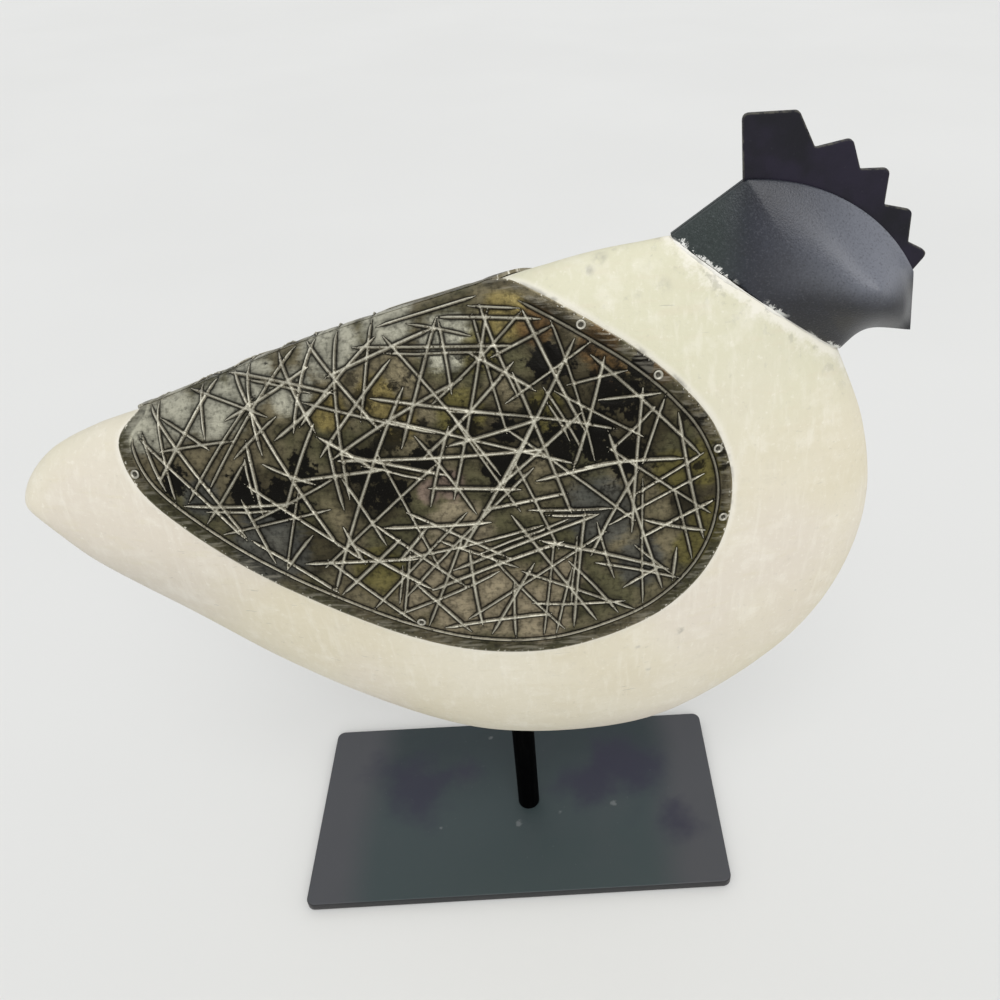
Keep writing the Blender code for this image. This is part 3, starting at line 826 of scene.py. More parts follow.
@dataclass(frozen=True)
class HeadPaint:
    """Thin bluish black paint with a leathery grain, a painted grey sheen as a highlight on the upper front,
    painted shade low down, and filler over its edge.
    """

    deep: Colour = (0.0065, 0.0075, 0.0130)
    blue: Colour = (0.0150, 0.0175, 0.0290)
    green: Colour = (0.0170, 0.0280, 0.0240)
    pale: Colour = (0.250, 0.260, 0.285)
    painted_sheen: Colour = (0.165, 0.174, 0.204)
    white: Colour = (0.80, 0.80, 0.76)

    def material(self) -> Material:
        """Returns the head's material."""
        g = Graph("head paint")
        broad = g.noise(40.0, 3.0)
        cells = {"Vector": g.place, "Scale": 2300.0}
        leather = g.node("ShaderNodeTexVoronoi", {"feature": "F1"}, cells, "Distance")
        grain = g.noise(1900.0, 4.0)
        g.colour = g.mix(broad.rise(0.35, 0.68), self.deep, self.blue)
        along = g.axis("X")
        high = g.axis("Z") + (broad - 0.5) * 0.006
        g.lay(along.fall(0.060, 0.071) * 0.85, self.green)
        # painted shade: the lower part of the head, which faces down, is darkened
        g.lay(high.fall(0.206, 0.219) * 0.7, (0.0035, 0.0038, 0.0055))
        # painted highlight: a grey sheen laid on the upper front of the head
        g.lay(along.rise(0.066, 0.106) * high.rise(0.2125, 0.2210) * 0.95, self.painted_sheen)
        g.lay(grain.rise(0.50, 0.80) * 0.16, self.pale)
        g.lay((1 - grain).rise(0.50, 0.75) * 0.5, (0.006, 0.006, 0.008))
        across = g.axis("Y")
        seam = across.size().fall(0.0001, 0.0002)
        g.lay(seam * 0.85, (0.003, 0.003, 0.003))
        ragged = g.noise(300.0, 6.0, None, 0.80)
        joint = g.attribute("neck_away") - 0.0006 + (ragged - 0.5) * 0.0100
        smear = joint.fall(0.0, 0.0004) * g.attribute("filler")
        g.lay(smear, self.white)
        rough = 0.40 + (broad - 0.5) * 0.10 + (grain - 0.5) * 0.2 + smear * 0.3
        normal = g.bump(leather, 0.30, 0.00014, g.bump(grain, 0.40, 0.00014))
        return g.finished(Roughness=rough, Normal=normal, Specular_IOR_Level=0.55)


@dataclass(frozen=True)
class CombPaint:
    """Flat black paint on the cut comb, with a violet cast, worn pale along its edges."""

    black: Colour = (0.0075, 0.0072, 0.0115)
    violet: Colour = (0.0145, 0.0115, 0.0240)
    worn: Colour = (0.110, 0.105, 0.085)

    def material(self) -> Material:
        """Returns the comb's material."""
        g = Graph("comb paint")
        fine = g.noise(900.0, 4.0)
        broad = g.noise(60.0, 3.0)
        away = g.attribute("edge_away")
        worn = (1 - (away + (broad - 0.5) * 0.0005).rise(0.00005, 0.0004)) * fine.rise(0.36, 0.60)
        g.colour = g.mix(broad.rise(0.38, 0.62), self.black, self.violet)
        g.lay(fine.rise(0.62, 0.8) * 0.3, (0.05, 0.05, 0.055))
        g.lay(worn * 0.8, self.worn)
        rough = 0.55 + (fine - 0.5) * 0.3
        normal = g.bump(fine, 0.35, 0.0002)
        return g.finished(Roughness=rough, Normal=normal, Specular_IOR_Level=0.25)


@dataclass(frozen=True)
class PlatePaint:
    """Satin black paint on the flat plate, clouded with teal and violet, with dull ends, a few marks and
    painted shade towards its far side.
    """

    teal: Colour = (0.038, 0.054, 0.056)
    deep: Colour = (0.022, 0.034, 0.037)
    violet: Colour = (0.023, 0.022, 0.041)
    umber: Colour = (0.062, 0.064, 0.070)
    dust: Colour = (0.20, 0.21, 0.21)
    clouds: tuple[tuple[float, float, float], ...] = (
        (-41.6, 10.5, 15.0), (31.7, 5.0, 15.0), (42.0, 13.0, 14.0), (-22.0, 14.0, 8.0), (62.0, -14.0, 9.0),
    )
    marks: tuple[tuple[float, float, float], ...] = (
        (-0.2, -9.9, 1.6), (-11.8, 30.8, 1.3), (36.6, -3.5, 1.6), (15.6, -6.1, 1.1), (-30.0, -10.0, 0.9),
    )

    def material(self) -> Material:
        """Returns the plate's material."""
        g = Graph("plate paint")
        cloud = g.noise(42.0, 4.0)
        wide = g.noise(14.0, 2.0)
        fine = g.noise(800.0, 4.0)
        along = g.axis("X")
        across = g.axis("Y")
        reach = along.size() + (wide - 0.5) * 0.02
        # painted shade: the plate's far side, under the bird, is mixed towards the deeper colour
        g.colour = g.mix((across + (wide - 0.5) * 0.02).rise(-0.012, 0.030), self.teal, self.deep)
        g.lay(reach.rise(0.048, 0.066), self.umber)
        for x, y, radius in self.clouds:
            spot = g.spot((x * MM, y * MM, 3.2 * MM), radius * MM * 1.4, cloud)
            g.lay(spot * 0.8, self.violet)
        g.lay(cloud.rise(0.5, 0.8) * 0.2, self.umber)
        g.lay(fine.rise(0.68, 0.76) * 0.12, self.dust)
        for x, y, radius in self.marks:
            spot = g.spot((x * MM, y * MM, 3.2 * MM), radius * MM, g.noise(500.0, 3.0))
            g.lay(spot * 0.45, self.dust)
        low = g.axis("Z").fall(0.0030, 0.00317)
        g.lay(low * 0.85, (0.014, 0.013, 0.014))
        rough = 0.44 + (cloud - 0.5) * 0.2
        normal = g.bump(fine, 0.12, 0.00012, g.bump(cloud, 0.06, 0.0005))
        return g.finished(Roughness=rough, Normal=normal, Specular_IOR_Level=0.35)


@dataclass(frozen=True)
class RodPaint:
    """Flat black paint on the round rod, with faint drawn lines along it and a few pale specks."""

    black: Colour = (0.0006, 0.0006, 0.0007)

    def material(self) -> Material:
        """Returns the rod's material."""
        g = Graph("rod paint")
        drawn = g.noise(1.0, 3.0, g.moved((900.0, 900.0, 60.0)))
        fine = g.noise(420.0, 3.0)
        g.colour = g.mix(drawn.rise(0.45, 0.75), self.black, (0.0018, 0.0018, 0.0019))
        g.lay(fine.rise(0.72, 0.76) * 0.5, (0.08, 0.08, 0.09))
        rough = 0.6 + (fine - 0.5) * 0.25
        normal = g.bump(drawn, 0.2, 0.0001)
        return g.finished(Roughness=rough, Normal=normal, Specular_IOR_Level=0.02)


@dataclass(frozen=True)
class NailMetal:
    """Dull steel with a worn bright rim and a dark dish."""

    dull: Colour = (0.060, 0.055, 0.040)
    bright: Colour = (0.460, 0.440, 0.370)

    def material(self) -> Material:
        """Returns the nails' material."""
        g = Graph("nail metal")
        fine = g.noise(700.0, 3.0)
        rim = (g.attribute("rim") + (fine - 0.5) * 0.5).rise(0.62, 0.86)
        g.colour = g.mix(rim, self.dull, self.bright)
        rough = 0.42 + (fine - 0.5) * 0.3
        metal = 0.5 + rim * 0.3
        normal = g.bump(fine, 0.3, 0.0002)
        return g.finished(Roughness=rough, Metallic=metal, Normal=normal)


@dataclass(frozen=True)
class WhiteFiller:
    """Chalky white filler, smeared into the joint of neck and head."""

    white: Colour = (0.86, 0.84, 0.77)
    grey: Colour = (0.42, 0.41, 0.36)

    def material(self) -> Material:
        """Returns the filler's material."""
        g = Graph("white filler")
        fine = g.noise(480.0, 4.0)
        broad = g.noise(140.0, 3.0)
        g.colour = g.mix(broad.rise(0.5, 0.72) * 0.7, self.white, self.grey)
        g.lay(fine.rise(0.62, 0.8) * 0.4, self.grey)
        rough = 0.7 + (fine - 0.5) * 0.2
        normal = g.bump(fine, 0.6, 0.0004)
        return g.finished(Roughness=rough, Normal=normal)


# The bird's pieces


class Lattice:
    """A closed form laid over a sphere's rings, from pole to pole."""

    @staticmethod
    def made(name: str, sides: int, rings: int, section: Callable[[float], Ring]) -> Piece:
        """Adds a sphere and lays it over a form.

        Args:
            name: The piece's name.
            sides: How many vertices each ring has.
            rings: How many stretches lie between the poles.
            section: Gives the ring at a share of the way, which gives a place from a number round the ring.

        Returns:
            The new object, closed and facing outwards.
        """

        def sphere() -> None:
            """Adds the sphere to shape."""
            bpy.ops.mesh.primitive_uv_sphere_add(segments=sides, ring_count=rings, radius=1.0)

        piece = Shop.started(name, sphere)
        places = [section(k / rings) for k in range(rings + 1)]

        def laid(at: Vector) -> Vector:
            """Returns the place on the form of a place on the sphere."""
            ring = round(math.acos(min(max(at.z, -1.0), 1.0)) / math.pi * rings)
            number = round(math.atan2(at.y, at.x) / (2 * math.pi) * sides) % sides
            return places[ring](number)

        Shop.shaped(piece, laid)
        Shop.outwards(piece)
        return piece


class Skin:
    """The body's right side as a fine surface, read square on to the sheet."""

    def __init__(self, bird: Bird, tilt: float, seam: float, stations: int = 240, sides: int = 110) -> None:
        """Lays the surface and its normals.

        Args:
            bird: The carved form.
            tilt: How far the view square on to the sheet looks down.
            seam: The slit between the two sheets on the ridge.
            stations: How many sections the surface has.
            sides: How many stretches it has from ridge to keel.
        """
        self.bird = bird
        self.slit = seam
        width = sides + 3
        turns = [math.pi * (j - 2) / sides for j in range(width)]
        self.verts = []
        for i in range(stations + 1):
            place = bird.section(bird.station(i / stations))
            self.verts += [place(t) for t in turns]
        self.faces = [
            (i * width + j, (i + 1) * width + j, (i + 1) * width + j + 1, i * width + j + 1)
            for i in range(1, stations)
            for j in range(width - 1)
        ]
        self.tree = BVHTree.FromPolygons(self.verts, self.faces)
        self.up = Vector((0, math.sin(tilt), math.cos(tilt)))
        self.into = Vector((0, math.cos(tilt), -math.sin(tilt)))
        points = np.array([v[:] for v in self.verts])
        normals = np.zeros_like(points)
        corners = np.array(self.faces)
        long = points[corners[:, 2]] - points[corners[:, 0]]
        wide = points[corners[:, 3]] - points[corners[:, 1]]
        across = np.cross(long, wide)
        for k in range(4):
            np.add.at(normals, corners[:, k], across)
        normals /= np.maximum(np.linalg.norm(normals, axis=1, keepdims=True), 1e-12)
        self.normals = [Vector(n) for n in normals]

    def flat(self, point: Vector) -> Vector:
        """Returns the place in the sheet's plane of a point on the body."""
        return Vector((point.x, point.dot(self.up)))

    def from_share(self, share: Sequence[float]) -> Vector:
        """Returns the place in the sheet's plane of an outline point in shares."""
        return self.flat(self.bird.placed((0, 0))) + Vector(share) * self.bird.length

    def to_share(self, place: Vector) -> Vector:
        """Returns a place in the sheet's plane in shares."""
        return (place - self.flat(self.bird.placed((0, 0)))) / self.bird.length

    def seam(self, share: float) -> Vector:
        """Returns the place in the sheet's plane of the ridge's slit, a share of the length from the tail."""
        points = self.bird.back.points
        low, high = next((a, b) for a, b in zip(points, points[1:]) if b.x >= share)
        ridge = self.bird.placed(low.lerp(high, (share - low.x) / (high.x - low.x)))
        return self.flat(Vector((ridge.x, -self.slit / 2, ridge.z)))

    def lifted(self, place: Vector, height: float) -> Vector:
        """Finds a point above the body.

        Args:
            place: Where it is in the sheet's plane.
            height: How far it stands off the body.

        Returns:
            The point in metres, short of the slit.
        """
        start = Vector((place.x, 0, 0)) + self.up * place.y - self.into * self.bird.length
        point, _, index, _ = self.tree.ray_cast(start, self.into)
        if point is None:
            point, _, index, _ = self.tree.find_nearest(start + self.into * self.bird.length)
        corners = self.faces[index]
        weights = poly_3d_calc([self.verts[k] for k in corners], point)
        normal = Vector((0, 0, 0))
        for k, weight in zip(corners, weights):
            normal += self.normals[k] * weight
        normal.normalize()
        if normal.dot(self.into) > 0:
            normal = -normal
        point = point + normal * height
        point.y = min(point.y, -self.slit / 2)
        return point


class Plane:
    """Measures over many places of the sheet's plane at once."""

    @staticmethod
    def inside(places: np.ndarray, loop: np.ndarray) -> np.ndarray:
        """Says which places are inside a closed outline.

        Args:
            places: The places, one row each.
            loop: The outline's points, one row each.

        Returns:
            True for each place inside.
        """
        found = np.zeros(len(places), dtype=bool)
        for a, b in zip(np.roll(loop, 1, axis=0), loop):
            if a[1] == b[1]:
                continue
            spans = (a[1] > places[:, 1]) != (b[1] > places[:, 1])
            reach = a[0] + (b[0] - a[0]) * (places[:, 1] - a[1]) / (b[1] - a[1])
            found ^= spans & (places[:, 0] < reach)
        return found

    @staticmethod
    def away(places: np.ndarray, loop: np.ndarray) -> np.ndarray:
        """Returns the distance from each place to a closed outline."""
        return Plane.followed(places, np.vstack([loop, loop[:1]]))[0]

    @staticmethod
    def within(places: np.ndarray, loop: np.ndarray, margin: float) -> list[Vector]:
        """Returns the places that are inside a closed outline and more than a margin from it."""
        keep = Plane.inside(places, loop) & (Plane.away(places, loop) > margin)
        return [Vector(p) for p in places[keep]]

    @staticmethod
    def honeycomb(loop: np.ndarray, step: float) -> list[Pair]:
        """Spreads places evenly over an outline's box.

        Args:
            loop: The outline's points, one row each.
            step: The distance from place to place.

        Returns:
            The places, with every other row shifted by half a step.
        """
        low, high = loop.min(axis=0), loop.max(axis=0)
        squeeze = 0.866
        return [
            (low[0] + (j + 0.5 * (i % 2)) * step, low[1] + i * step * squeeze)
            for i in range(int((high[1] - low[1]) / (step * squeeze)) + 1)
            for j in range(int((high[0] - low[0]) / step) + 1)
        ]

    @staticmethod
    def rows(places: Iterable[Vector]) -> np.ndarray:
        """Returns places as an array, one row each."""
        return np.array([(p[0], p[1]) for p in places])

    @staticmethod
    def followed(places: np.ndarray, points: np.ndarray) -> tuple[np.ndarray, np.ndarray]:
        """Measures from places to a bowed line.

        Args:
            places: The places, one row each.
            points: The line's points, one row each.

        Returns:
            Each place's distance from the line, and the way along it to the nearer end.
        """
        found = np.full(len(places), 1e9)
        way = np.zeros(len(places))
        marks = np.concatenate([[0.0], np.cumsum(np.hypot(*(points[1:] - points[:-1]).T))])
        for k, (a, b) in enumerate(zip(points, points[1:])):
            along = b - a
            t = np.clip(((places - a) @ along) / max(along @ along, 1e-18), 0.0, 1.0)
            gap = places - a - t[:, None] * along
            away = np.hypot(gap[:, 0], gap[:, 1])
            closer = away < found
            found = np.where(closer, away, found)
            way = np.where(closer, marks[k] + t * (marks[k + 1] - marks[k]), way)
        return found, np.minimum(way, marks[-1] - way)


@dataclass
class SheetForm:
    """The outline and the ribs of the nailed sheets, seen square on to the bird's side."""

    bird: Bird
    tilt: float = math.radians(37.0)
    slit: float = 0.5 * MM
    thickness: float = 0.6 * MM
    rib_height: float = 0.7 * MM
    border_inset: float = 3.9 * MM
    crowding: float = 0.10
    coarse_step: float = 5.2 * MM
    ends: Pair = (0.5635, 0.1665)
    edge: tuple[Pair, ...] = (
        (0.578, 0.548), (0.6205, 0.5255), (0.6655, 0.499), (0.710, 0.471), (0.752, 0.4375), (0.789, 0.396),
        (0.8105, 0.344), (0.809, 0.287), (0.785, 0.2335), (0.7415, 0.191), (0.6855, 0.164), (0.605, 0.1455),
        (0.523, 0.149), (0.4445, 0.1705), (0.356, 0.212), (0.2745, 0.2595), (0.2025, 0.315), (0.1645, 0.354),
        (0.148, 0.387), (0.1445, 0.413),
    )
    rib_seed: int = 11
    rib_count: int = 110
    rib_lengths: tuple[float, float, float] = (9.0 * MM, 22.0 * MM, 58.0 * MM)
    turn_spread: float = 0.008
    rib_margin: float = 1.2 * MM
    rib_tries: int = 10
    skin: Skin = field(init=False)
    line: Line = field(init=False)

    def __post_init__(self) -> None:
        """Lays the skin and draws the free edge."""
        self.skin = Skin(self.bird, self.tilt, self.slit)
        front, tail = self.ends
        edge = [self.skin.from_share(p) for p in self.edge]
        self.line = Line(curve_through([self.skin.seam(front)] + edge + [self.skin.seam(tail)]))

    def loop(self, step: float, crowding: float = 0.0) -> list[Vector]:
        """Draws the closed outline.

        Args:
            step: The distance from point to point.
            crowding: How much closer the points are at the two ends of the free edge.

        Returns:
            The outline, counter-clockwise.
        """
        front, tail = self.ends
        count = max(round(self.line.length / step), 8)
        shares = [k / count for k in range(count + 1)]
        loop = [self.line.at(t - crowding * math.sin(2 * math.pi * t)) for t in shares]
        count = max(round(abs(loop[0].x - loop[-1].x) / step), 4)
        ridge = [self.skin.seam(tail + (front - tail) * k / count) for k in range(1, count)]
        return (loop + ridge)[::-1]

    def ribs(self) -> list[tuple[Vector, Vector]]:
        """Draws crisscross ribs from a fixed seed, spread evenly in place and in turn.

        Returns:
            The two end places of each rib.
        """
        dice = random.Random(self.rib_seed)
        ground = inset_loop(self.loop(self.coarse_step, self.crowding), self.border_inset + self.rib_margin)
        low = Vector((min(p.x for p in ground), min(p.y for p in ground)))
        high = Vector((max(p.x for p in ground), max(p.y for p in ground)))
        shortest, usual, longest = self.rib_lengths
        marks: list[Vector] = []
        ribs: list[tuple[Vector, Vector]] = []
        while len(ribs) < self.rib_count:
            tries = []
            while len(tries) < self.rib_tries:
                middle = Vector((dice.uniform(low.x, high.x), dice.uniform(low.y, high.y)))
                turn = dice.uniform(0, math.pi)
                if not inside(middle, ground):
                    continue
                ray = Vector((math.cos(turn), math.sin(turn)))
                reach = dice.triangular(shortest, longest, usual) / 2
                ends = []
                for way in (-reach, reach):
                    part = 1.0
                    while part > 0 and not inside(middle + ray * way * part, ground):
                        part -= 0.05
                    ends.append(middle + ray * way * part)
                if (ends[1] - ends[0]).length > shortest:
                    middle = (ends[0] + ends[1]) / 2
                    side = Vector((math.cos(2 * turn), math.sin(2 * turn))) * self.turn_spread
                    tries.append((Vector((*middle, *side)), tuple(ends)))
            mark, rib = max(tries, key=lambda t: min([(t[0] - m).length for m in marks] or [0.0]))
            marks.append(mark)
            ribs.append(rib)
        return ribs


@dataclass(frozen=True)
class Stroke:
    """One embossed line: its points in the sheet's plane, its height and its half width."""

    points: tuple[Vector, ...]
    height: float
    half_width: float


@dataclass
class NailedSheets:
    """The two embossed sheets over the bird's sides, and the dished nails that hold them."""

    bird: Bird
    form: SheetForm
    edge_step: float = 0.7 * MM
    stroke_step: float = 0.85 * MM
    field_step: float = 1.5 * MM
    back_step: float = 3.2 * MM
    offsets: tuple[float, ...] = (0.0, 0.22, -0.22, 0.45, -0.45, 0.75, -0.75, 1.15, -1.15)
    rib_half: float = 0.56 * MM
    twin_every: int = 15
    bare: float = 1.35 * MM
    top_border: Pair = (0.44, 0.545)
    taper: float = 2.6 * MM
    trough: float = 0.12 * MM
    trough_width: float = 0.28 * MM
    pillow: float = 0.18 * MM
    pillow_reach: float = 4.0 * MM
    bead: float = 0.2 * MM
    bead_width: float = 3.6 * MM
    waves: float = 0.12 * MM
    dimple: float = 0.22 * MM
    dimple_reach: float = 1.9 * MM
    far: float = 8.0 * MM
    nail_stations: tuple[float, ...] = (0.0805, 0.155, 0.2385, 0.303, 0.649, 0.934)
    inner_nail: int = 5
    nail_inset: float = 1.9 * MM
    nail_radius: float = 1.3 * MM
    nail_height: float = 0.9 * MM
    nail_dish: float = 0.4 * MM

    def strokes(self) -> list[Stroke]:
        """Turns the ribs and the border into strokes that bow and vary as hand work does.

        Returns:
            The strokes, the borders last.
        """
        dice = random.Random(5)
        found = []
        for number, (start, end, share) in enumerate(self._lines()):
            along = end - start
            bow = Vector((-along.y, along.x)) * dice.uniform(-0.02, 0.02)
            points = tuple(start + along * (k / 5) + bow * (4 * (k / 5) * (1 - k / 5)) for k in range(6))
            height = self.form.rib_height * dice.uniform(0.62, 1.0) * share
            found.append(Stroke(points, height, self.rib_half * dice.uniform(0.80, 1.10) * share))
            if number % self.twin_every == 0:
                across = Vector((-along.y, along.x)).normalized() * dice.uniform(1.2, 1.9) * MM
                twin = tuple(p + across * dice.uniform(0.85, 1.15) for p in points[1:-1])
                found.append(Stroke(twin, height * 0.7, self.rib_half * 0.75))
        ground = self.form.line
        border = []
        for step in range(151):
            place = 0.028 + 0.944 * step / 150
            along = ground.along(place)
            border.append(ground.at(place) + Vector((along.y, -along.x)) * self.form.border_inset)
        found.append(Stroke(tuple(border), self.form.rib_height * 0.7, self.rib_half * 0.8))
        low, high = self.top_border
        top = [self.form.skin.seam(high + (low - high) * k / 30) - Vector((0.0, 2.9 * MM)) for k in range(31)]
        found.append(Stroke(tuple(top), self.form.rib_height * 0.5, self.rib_half * 0.8))
        log.info("ribs: %d embossed lines", len(found))
        return found

    def nail_places(self) -> list[Vector]:
        """Returns where the nails go through the sheet, in its plane."""
        found = []
        line = self.form.line
        for number, share in enumerate(self.nail_stations, start=1):
            inset = self.nail_inset + (self.form.border_inset if number == self.inner_nail else 0.0)
            along = (line.at(share + 0.01) - line.at(share - 0.01)).normalized()
            found.append(line.at(share) + Vector((along.y, -along.x)) * inset)
        return found

    def relief(self, places: np.ndarray, strokes: Sequence[Stroke]) -> tuple[np.ndarray, np.ndarray]:
        """Measures the embossing.

        Args:
            places: Places in the sheet's plane, one row each.
            strokes: The embossed lines, which taper towards their ends.

        Returns:
            The height of each place above the flat sheet, and its distance from the nearest line.
        """
        ridge = np.zeros(len(places))
        trough = np.zeros(len(places))
        nearest = np.full(len(places), self.far)
        for stroke in strokes:
            points = Plane.rows(stroke.points)
            near = np.all(
                (places > points.min(axis=0) - self.far) & (places < points.max(axis=0) + self.far), axis=1
            ).nonzero()[0]
            away, way = Plane.followed(places[near], points)
            taper = np.clip(0.3 + 0.7 * way / self.taper, 0.3, 1.0)
            thin = away / taper
            share = np.clip(1 - thin / stroke.half_width, 0.0, 1.0)
            rise = share * share * (3 - 2 * share)
            ridge[near] = np.maximum(ridge[near], stroke.height * taper * rise)
            dip = np.exp(-(((thin - stroke.half_width * 1.15) / self.trough_width) ** 2))
            trough[near] = np.maximum(trough[near], dip)
            nearest[near] = np.minimum(nearest[near], thin * self.rib_half / stroke.half_width)
        hollow = trough * (1 - np.clip(ridge / self.form.rib_height * 4, 0.0, 1.0))
        pillow = np.clip(nearest / self.pillow_reach, 0.0, 1.0)
        return ridge - self.trough * hollow + self.pillow * pillow * (2 - pillow), nearest

    def _front_places(self, loop: np.ndarray, strokes: Sequence[Stroke]) -> list[Vector]:
        """Spreads the front's places, close along the strokes and wider between them.

        Args:
            loop: The outline, one point a row.
            strokes: The embossed lines.

        Returns:
            The places inside the outline.
        """
        taken: set[tuple[int, int]] = set()
        cell = 0.1 * MM
        found: list[tuple[float, float]] = []

        def offer(x: float, y: float, clear: int) -> None:
            """Keeps a place if no other is within so many cells."""
            key = (math.floor(x / cell), math.floor(y / cell))
            reach = range(-clear, clear + 1)
            if any((key[0] + i, key[1] + j) in taken for i in reach for j in reach):
                return
            taken.add(key)
            found.append((x, y))

        for offset in self.offsets:
            for stroke in strokes:
                line = Line(list(stroke.points))
                count = max(round(line.length / self.stroke_step), 2)
                ends = 1.1 * MM / line.length
                for k in range(-1, count + 2):
                    share = k / count if 0 <= k <= count else (-ends if k < 0 else 1 + ends)
                    along = line.along(min(max(share, 0.0), 1.0))
                    place = line.at(share)
                    if share < 0 or share > 1:
                        place = place + along * (share - min(max(share, 0.0), 1.0)) * line.length
                    side = Vector((-along.y, along.x)) * offset * MM
                    offer(place.x + side.x, place.y + side.y, 1)
        for x, y in Plane.honeycomb(loop, self.field_step):
            offer(x, y, 6)
        return Plane.within(np.array(found), loop, 0.3 * MM)

    @staticmethod
    def _triangles(loop: list[Vector], places: list[Vector]) -> tuple[list[Vector], list[Sequence[int]]]:
        """Fills an outline with triangles.

        Args:
            loop: The outline.
            places: The places inside it.

        Returns:
            The vertices, the outline's first, and the triangles.
        """
        edges = [(k, (k + 1) % len(loop)) for k in range(len(loop))]
        verts, _, faces, _, _, _ = delaunay_2d_cdt(loop + places, edges, [], 1, 1e-7)
        rows = Plane.rows(verts)
        middles = rows[np.array(faces)].mean(axis=1)
        keep = Plane.inside(middles, Plane.rows(loop))
        return verts, [f for f, kept in zip(faces, keep) if kept]

    def build_sheet(self) -> Piece:
        """Builds the right sheet: the embossed front, the cut rim and the plain back.

        Delaunay triangles are used here, because only they put the points where the crossing ribs need them.

        Returns:
            The sheet.
        """
        strokes = self.strokes()
        loop = self.form.loop(self.edge_step)
        outline = Plane.rows(loop)
        front, front_faces = self._triangles(loop, self._front_places(outline, strokes))
        places = Plane.rows(front)
        raised, rib_away = self.relief(places, strokes)
        away = Plane.away(places, outline)
        away[: len(loop)] = 0.0
        free = Plane.rows(self.form.line.points[::5])
        free_away = Plane.followed(places, free)[0]
        bead = self.bead * np.sin(np.pi * np.clip(free_away / self.bead_width, 0.0, 1.0))
        nails = self.nail_places()
        verts: list[Vector] = []
        for k, place in enumerate(front):
            wave = noise.noise(Vector((place.x * 90, place.y * 90, 3.0))) * self.waves
            pressed = sum(math.exp(-(((place - n).length / self.dimple_reach) ** 2)) for n in nails)
            settle = smooth_step(0.0, 2.5 * MM, away[k])
            height = raised[k] + bead[k] + (wave - self.dimple * pressed) * settle
            verts.append(self.form.skin.lifted(place, self.bird.gap + self.form.thickness + height))
        ground = Plane.within(np.array(Plane.honeycomb(outline, self.back_step)), outline, 1.0 * MM)
        back, back_faces = self._triangles(loop, ground)
        start = len(verts)
        verts += [self.form.skin.lifted(place, self.bird.gap) for place in back]
        faces: list[Sequence[int]] = [tuple(f) for f in front_faces]
        faces += [tuple(start + k for k in reversed(f)) for f in back_faces]
        for k in range(len(loop)):
            n = (k + 1) % len(loop)
            faces.append((n, k, start + k, start + n))
        sheet = Shop.from_mesh("sheet_right", verts, faces)
        Shop.measured(sheet, "rib_away", list(rib_away) + [self.far] * len(back))
        Shop.measured(sheet, "edge_away", list(free_away) + [0.0] * len(back))
        self._map(sheet, list(front) + list(back))
        Shop.outwards(sheet)
        Shop.smoothed(sheet, 50)
        return sheet

    def _map(self, sheet: Piece, places: Sequence[Vector]) -> None:
        """Gives the sheet a UV map of places in shares."""
        skin = self.form.skin
        shares = np.array([skin.to_share(Vector((p[0], p[1])))[:] for p in places], dtype=np.float32)
        layer = sheet.data.uv_layers.new(name="UVMap")
        corners = np.zeros(len(sheet.data.loops), dtype=np.int32)
        sheet.data.loops.foreach_get("vertex_index", corners)
        layer.data.foreach_set("uv", shares[corners].ravel())

    def build_nail(self, name: str, place: Vector) -> Piece:
        """Builds one dished nail head on the right sheet.

        Args:
            name: The piece's name.
            place: Where it goes through the sheet.

        Returns:
            The nail head.
        """
        skin = self.form.skin
        seat = skin.lifted(place, self.bird.gap + self.form.thickness + 0.05 * MM)
        axis = (skin.lifted(place, 20 * MM) - seat).normalized()
        frame = Matrix.Translation(seat) @ axis.to_track_quat("Z", "Y").to_matrix().to_4x4()
        r, h = self.nail_radius, self.nail_height
        foot = [Vector(p) for p in ((0, 0), (r, 0), (r, h * 0.55))]
        rim = [(r, h * 0.55), (r * 0.93, h * 0.86), (r * 0.76, h), (r * 0.56, h * 0.86)]
        dish = [(r * 0.56, h * 0.86), (r * 0.3, h - self.nail_dish), (0, h - self.nail_dish * 1.05)]
        profile = Line(foot + curve_through(rim, 6) + curve_through(dish, 6))
        dice = random.Random(name)
        dent = Vector((dice.uniform(-0.3, 0.3), dice.uniform(-0.3, 0.3))) * r

        def section(share: float) -> Ring:
            """Returns the ring at a share of the profile."""
            reach, height = profile.at(share)

            def place_at(number: int) -> Vector:
                """Returns the place of one vertex of the ring."""
                turn = 2 * math.pi * number / 28
                at = Vector((math.cos(turn) * reach, math.sin(turn) * reach, height))
                dented = math.exp(-(((at.xy - dent).length / (0.5 * MM)) ** 2)) if height > h * 0.5 else 0.0
                return frame @ Vector((at.x, at.y, at.z - 0.12 * MM * dented))

            return place_at

        nail = Lattice.made(name, 28, 26, section)
        flat = frame.inverted()
        rims = [(flat @ v.co).z / h for v in nail.data.vertices]
        Shop.measured(nail, "rim", rims)
        Shop.smoothed(nail, 40)
        return nail

    @staticmethod
    def mirrored(piece: Piece, name: str) -> Piece:
        """Copies a piece to the bird's other side.

        Args:
            piece: The piece on the right side.
            name: The copy's name.

        Returns:
            The copy, with its own mesh.
        """
        Shop.alone(piece)
        bpy.ops.object.duplicate()
        copy = bpy.context.active_object
        copy.name = name
        copy.data.name = name
        copy.scale = (1, -1, 1)
        Shop.settled(copy)
        Shop.edited(
            copy, "FACE", lambda face: True, lambda: bpy.ops.mesh.normals_make_consistent(inside=False)
        )
        return copy

